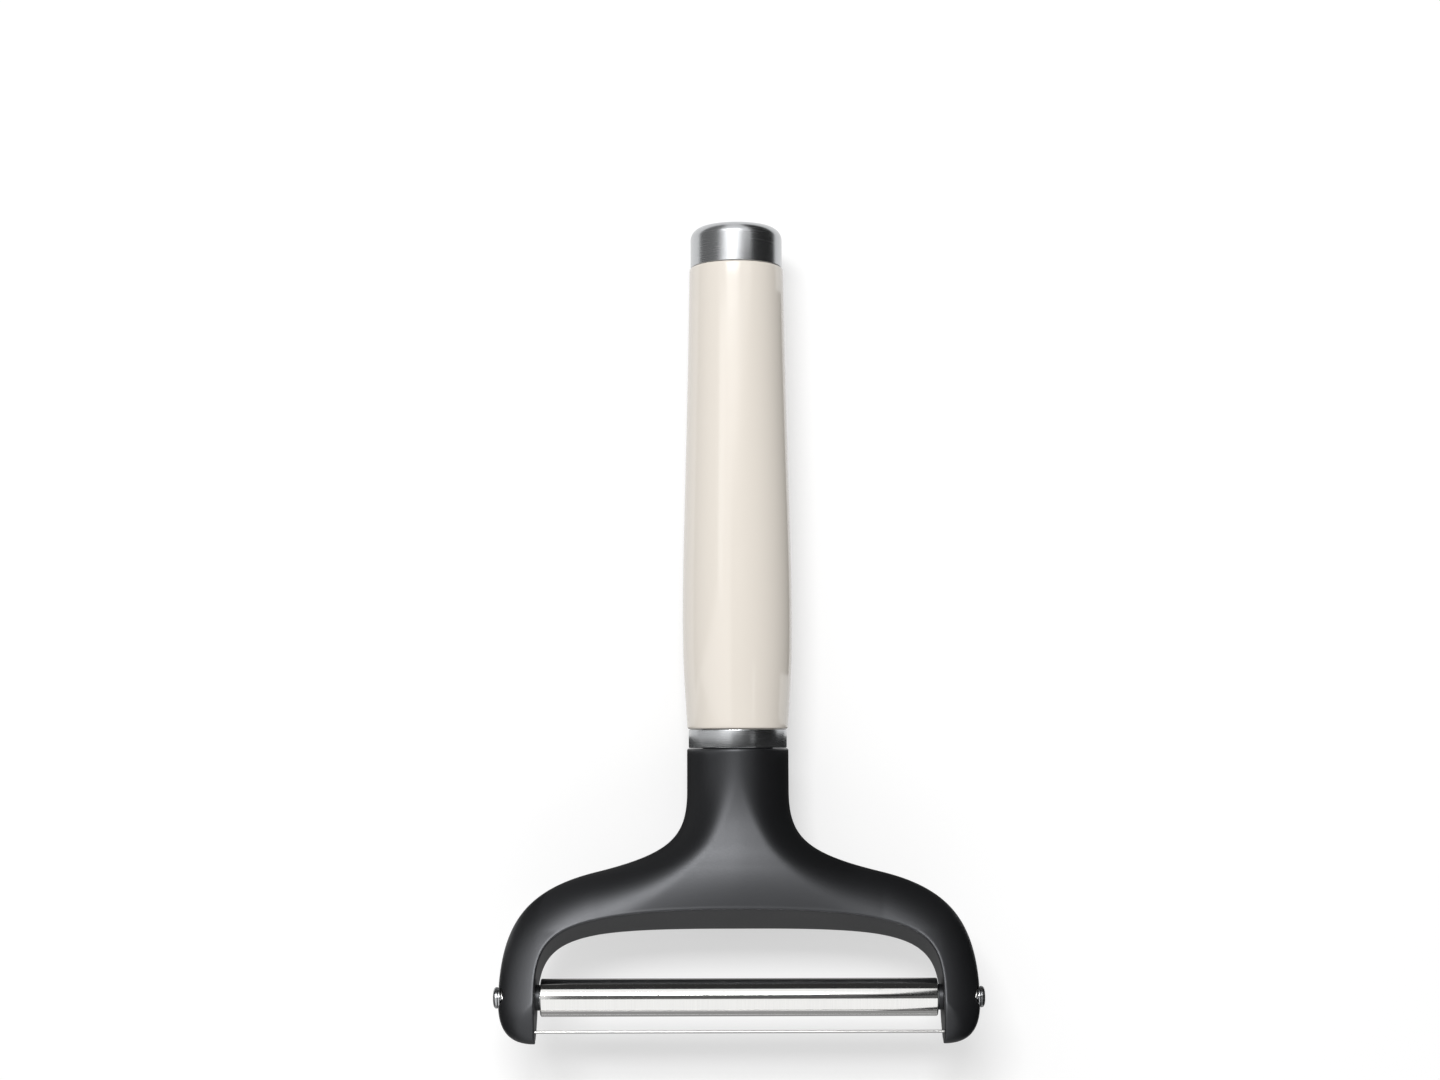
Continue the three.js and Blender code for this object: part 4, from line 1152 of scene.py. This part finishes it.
def leaning(x, y, height):
    """Corners of a panel that stands on the floor along y and leans from one x to the other."""
    return [(x[0], y[0], 0), (x[0], y[1], 0), (x[1], y[1], height), (x[1], y[0], height)]


def upright(x, y, z):
    """Corners of a panel that stands across the handle's line at one y."""
    return [(x[0], y, z[0]), (x[1], y, z[0]), (x[1], y, z[1]), (x[0], y, z[1])]


def level(x, y, z):
    """Corners of a panel that lies level at one z."""
    return [(x[0], y[0], z), (x[1], y[0], z), (x[1], y[1], z), (x[0], y[1], z)]


# Each panel's corners and brightness. Those behind the head leave out the neck.
BEHIND_Y = 0.0105
NECK_SIDE = 0.0125
NECK_TOP = 0.0255
PANEL_ENDS = (-0.3, 0.3)
PANEL_LIFT = 0.0004
PANELS = {
    "panel_by_handle": (leaning((0.025, 0.05), (0.028, 0.124), 0.1), 0.03),
    "panel_right_of_cap": (leaning((0.055, 0.062), (0.124, 0.5), 0.1), 0.03),
    "panel_right_of_neck": (leaning((0.025, 0.04), (-0.012, 0.0155), 0.06), 0.03),
    "panel_by_head": (leaning((0.075, 0.064), (-0.3, -0.012), 0.08), 0.02),
    "panel_left": (leaning((-0.08, -0.17), (-0.3, -0.025), 0.15), 0.07),
    "panel_by_cap": ([(-0.08, 0.02, 0), (-0.08, 0.5, 0), (-0.15, 0.5, 0.19), (-0.15, 0.07, 0.19)], 0.2),
    "panel_behind": (upright(PANEL_ENDS, BEHIND_Y, (NECK_TOP, 0.066)), 0.03),
    "panel_behind_left": (upright((PANEL_ENDS[0], -NECK_SIDE), BEHIND_Y, (0, NECK_TOP)), 0.12),
    "panel_behind_right": (upright((NECK_SIDE, PANEL_ENDS[1]), BEHIND_Y, (0, NECK_TOP)), 0.05),
    "panel_by_neck": (leaning((-0.03, -0.05), (-0.025, BEHIND_Y), 0.03), 0.16),
    "panel_right": (leaning((0.09, 0.15), (0.03, 0.16), 0.9), 0.02),
    "panel_right_low": (leaning((0.09, 0.1), (-0.05, 0.03), 0.15), 0.02),
    # Dark sheet on the floor under the yoke's bend and beside the neck, seen only in reflections: painted
    # shadow of the floor there.
    "panel_back_floor_painted_shadow": (level((-0.13, 0.13), (-0.012, 0.014), PANEL_LIFT), 0.06),
    # Grey sheet on the floor under the head, seen only in reflections: painted shadow of the floor there.
    "panel_under_painted_shadow": (level((-0.07, 0.07), (-0.095, -0.012), PANEL_LIFT), 0.3),
    "panel_front": (upright(PANEL_ENDS, -0.1, (0, 0.035)), 0.3),
    "panel_above": ([(-0.2, -0.1, 0.8), (0.5, -0.1, 0.8), (0.5, 0.33, 0.8), (-0.2, 0.2, 0.8)], 0.1),
    "panel_over_cap": (level((-0.125, 0.04), (0.15, 0.2), 0.15), 0.6),
}


def soft_lamp(name, place, brightness):
    """A rectangular lamp that faces a point. Its power is pi times brightness times area, so a matt
    surface that it fills the view of shows that brightness."""
    centre, target, width, height = place
    lamp = bpy.data.lights.new(name, "AREA")
    lamp.shape = "RECTANGLE"
    lamp.size = width
    lamp.size_y = height
    lamp.energy = brightness * math.pi * width * height
    made = bpy.data.objects.new(name, lamp)
    made.location = centre
    made.rotation_euler = (Vector(centre) - Vector(target)).to_track_quat("Z", "Y").to_euler()
    made.visible_camera = False
    bpy.context.scene.collection.objects.link(made)
    return made


class SLICER_OT_add_stage(bpy.types.Operator):
    """Add the floor, the soft studio light and the camera"""

    bl_idname = "slicer.add_stage"
    bl_label = "Studio"

    def execute(self, context):
        stage = context.scene.slicer_stage
        self.add_floor(stage)
        self.add_world(context.scene, stage)
        self.add_lamps(stage)
        self.add_panels()
        self.add_camera(context.scene)
        context.scene.view_settings.view_transform = "Standard"
        return {"FINISHED"}

    def seen(self, graph):
        """1 for rays from the camera, a reflection or a clear body, and 0 for the light on surfaces."""
        path = graph.node("ShaderNodeLightPath", output="Is Camera Ray")
        total = path + path.output("Is Glossy Ray") + path.output("Is Transmission Ray")
        return graph.node("ShaderNodeClamp", inputs={"Value": total})

    def add_floor(self, stage):
        """A wide pale floor: a matt colour that takes the shadow, with some white of its own where it is
        seen, and plain white further away."""
        material, graph = new_graph("floor_pale")
        matt = graph.node("ShaderNodeBsdfDiffuse", inputs={"Color": (*stage.floor, 1)})
        glow = graph.node("ShaderNodeEmission", inputs={"Strength": self.seen(graph) * stage.floor_glow})
        lit = graph.node("ShaderNodeAddShader", inputs={0: matt, 1: glow})
        white = graph.node("ShaderNodeEmission", inputs={"Strength": self.seen(graph)})
        place = graph.node("ShaderNodeTexCoord", output="Object")
        ends = {0: place, 1: FLOOR_CENTRE}
        away = graph.node("ShaderNodeVectorMath", {"operation": "DISTANCE"}, ends, "Value")
        edges = {0: away, 1: FLOOR_WHITE_FROM, 2: FLOOR_WHITE_AT}
        far = graph.node("ShaderNodeMapRange", {"interpolation_type": "SMOOTHSTEP"}, edges)
        mixed = graph.node("ShaderNodeMixShader", inputs={0: far, 1: lit, 2: white})
        graph.node("ShaderNodeOutputMaterial", inputs={"Surface": mixed})
        square = np.array([(-1, -1), (1, -1), (1, 1), (-1, 1)]) * FLOOR_HALF
        flat_sheet("floor", np.insert(square, 2, -FLOOR_BELOW, axis=1), material)

    def add_world(self, scene, stage):
        """Even light all round, and plain white where it is seen."""
        scene.world = bpy.data.worlds.new("studio")
        scene.world.use_nodes = True
        graph = Graph(scene.world.node_tree)
        strength = stage.ambient + self.seen(graph) * (1 - stage.ambient)
        sky = graph.node("ShaderNodeBackground", inputs={"Color": (1, 1, 1, 1), "Strength": strength})
        graph.node("ShaderNodeOutputWorld", inputs={"Surface": sky})

    def add_lamps(self, stage):
        """A soft key lamp above the handle's end, a weaker one on the left, and a fill beyond the head
        that nothing mirrors."""
        soft_lamp("key", KEY_LAMP, stage.key)
        soft_lamp("left", LEFT_LAMP, stage.left)
        soft_lamp("front", FRONT_LAMP, stage.front).visible_glossy = False

    def add_panels(self):
        """Panels that stand and lie round the slicer: dark on the right, behind and above, grey on the
        left, below and in front, and bright over the cap. The sheets that lie on the floor below and
        behind the head are painted shadow of the floor, seen in reflections."""
        for name, (corners, brightness) in PANELS.items():
            panel(name, corners, brightness)

    def add_camera(self, scene):
        """The photograph's camera, looking down from above the neck and tipped towards the handle."""
        data = bpy.data.cameras.new("camera")
        data.sensor_width = CAMERA_SENSOR
        data.lens = CAMERA_FOCAL_PIXELS * CAMERA_SENSOR / PHOTO_WIDTH
        camera = bpy.data.objects.new("camera", data)
        camera.location = CAMERA_PLACE
        camera.rotation_euler = (CAMERA_TILT, 0, CAMERA_ROLL)
        scene.collection.objects.link(camera)
        scene.camera = camera


class SLICER_PT_sidebar(bpy.types.Panel):
    """Sizes, finishes and steps of the slicer"""

    bl_idname = "SLICER_PT_sidebar"
    bl_label = "Cheese slicer"
    bl_space_type = "VIEW_3D"
    bl_region_type = "UI"
    bl_category = "Slicer"

    def draw(self, context):
        for name in SETTINGS:
            settings = getattr(context.scene, name)
            section = self.layout.box()
            for key in settings.__annotations__:
                section.prop(settings, key)
        for operator in OPERATORS:
            self.layout.operator(operator.bl_idname)


SETTINGS = {
    "slicer_yoke": SlicerYokeSizes,
    "slicer_handle": SlicerHandleSizes,
    "slicer_roller": SlicerRollerSizes,
    "slicer_finish": SlicerFinishes,
    "slicer_stage": SlicerStage,
}
OPERATORS = (
    SLICER_OT_add_yoke,
    SLICER_OT_add_sleeve,
    SLICER_OT_add_collar_and_cap,
    SLICER_OT_add_roller,
    SLICER_OT_add_wire,
    SLICER_OT_add_fasteners,
    SLICER_OT_finish_inner_nodes,
    SLICER_OT_add_stage,
)


def register():
    for group in SETTINGS.values():
        bpy.utils.register_class(group)
    for operator in OPERATORS:
        bpy.utils.register_class(operator)
    bpy.utils.register_class(SLICER_PT_sidebar)
    for name, group in SETTINGS.items():
        setattr(bpy.types.Scene, name, bpy.props.PointerProperty(type=group))


def unregister():
    for name in SETTINGS:
        delattr(bpy.types.Scene, name)
    bpy.utils.unregister_class(SLICER_PT_sidebar)
    for operator in reversed(OPERATORS):
        bpy.utils.unregister_class(operator)
    for group in reversed(SETTINGS.values()):
        bpy.utils.unregister_class(group)


def main():
    register()
    for operator in OPERATORS:
        group, name = operator.bl_idname.split(".")
        getattr(getattr(bpy.ops, group), name)()


if __name__ == "__main__":
    main()
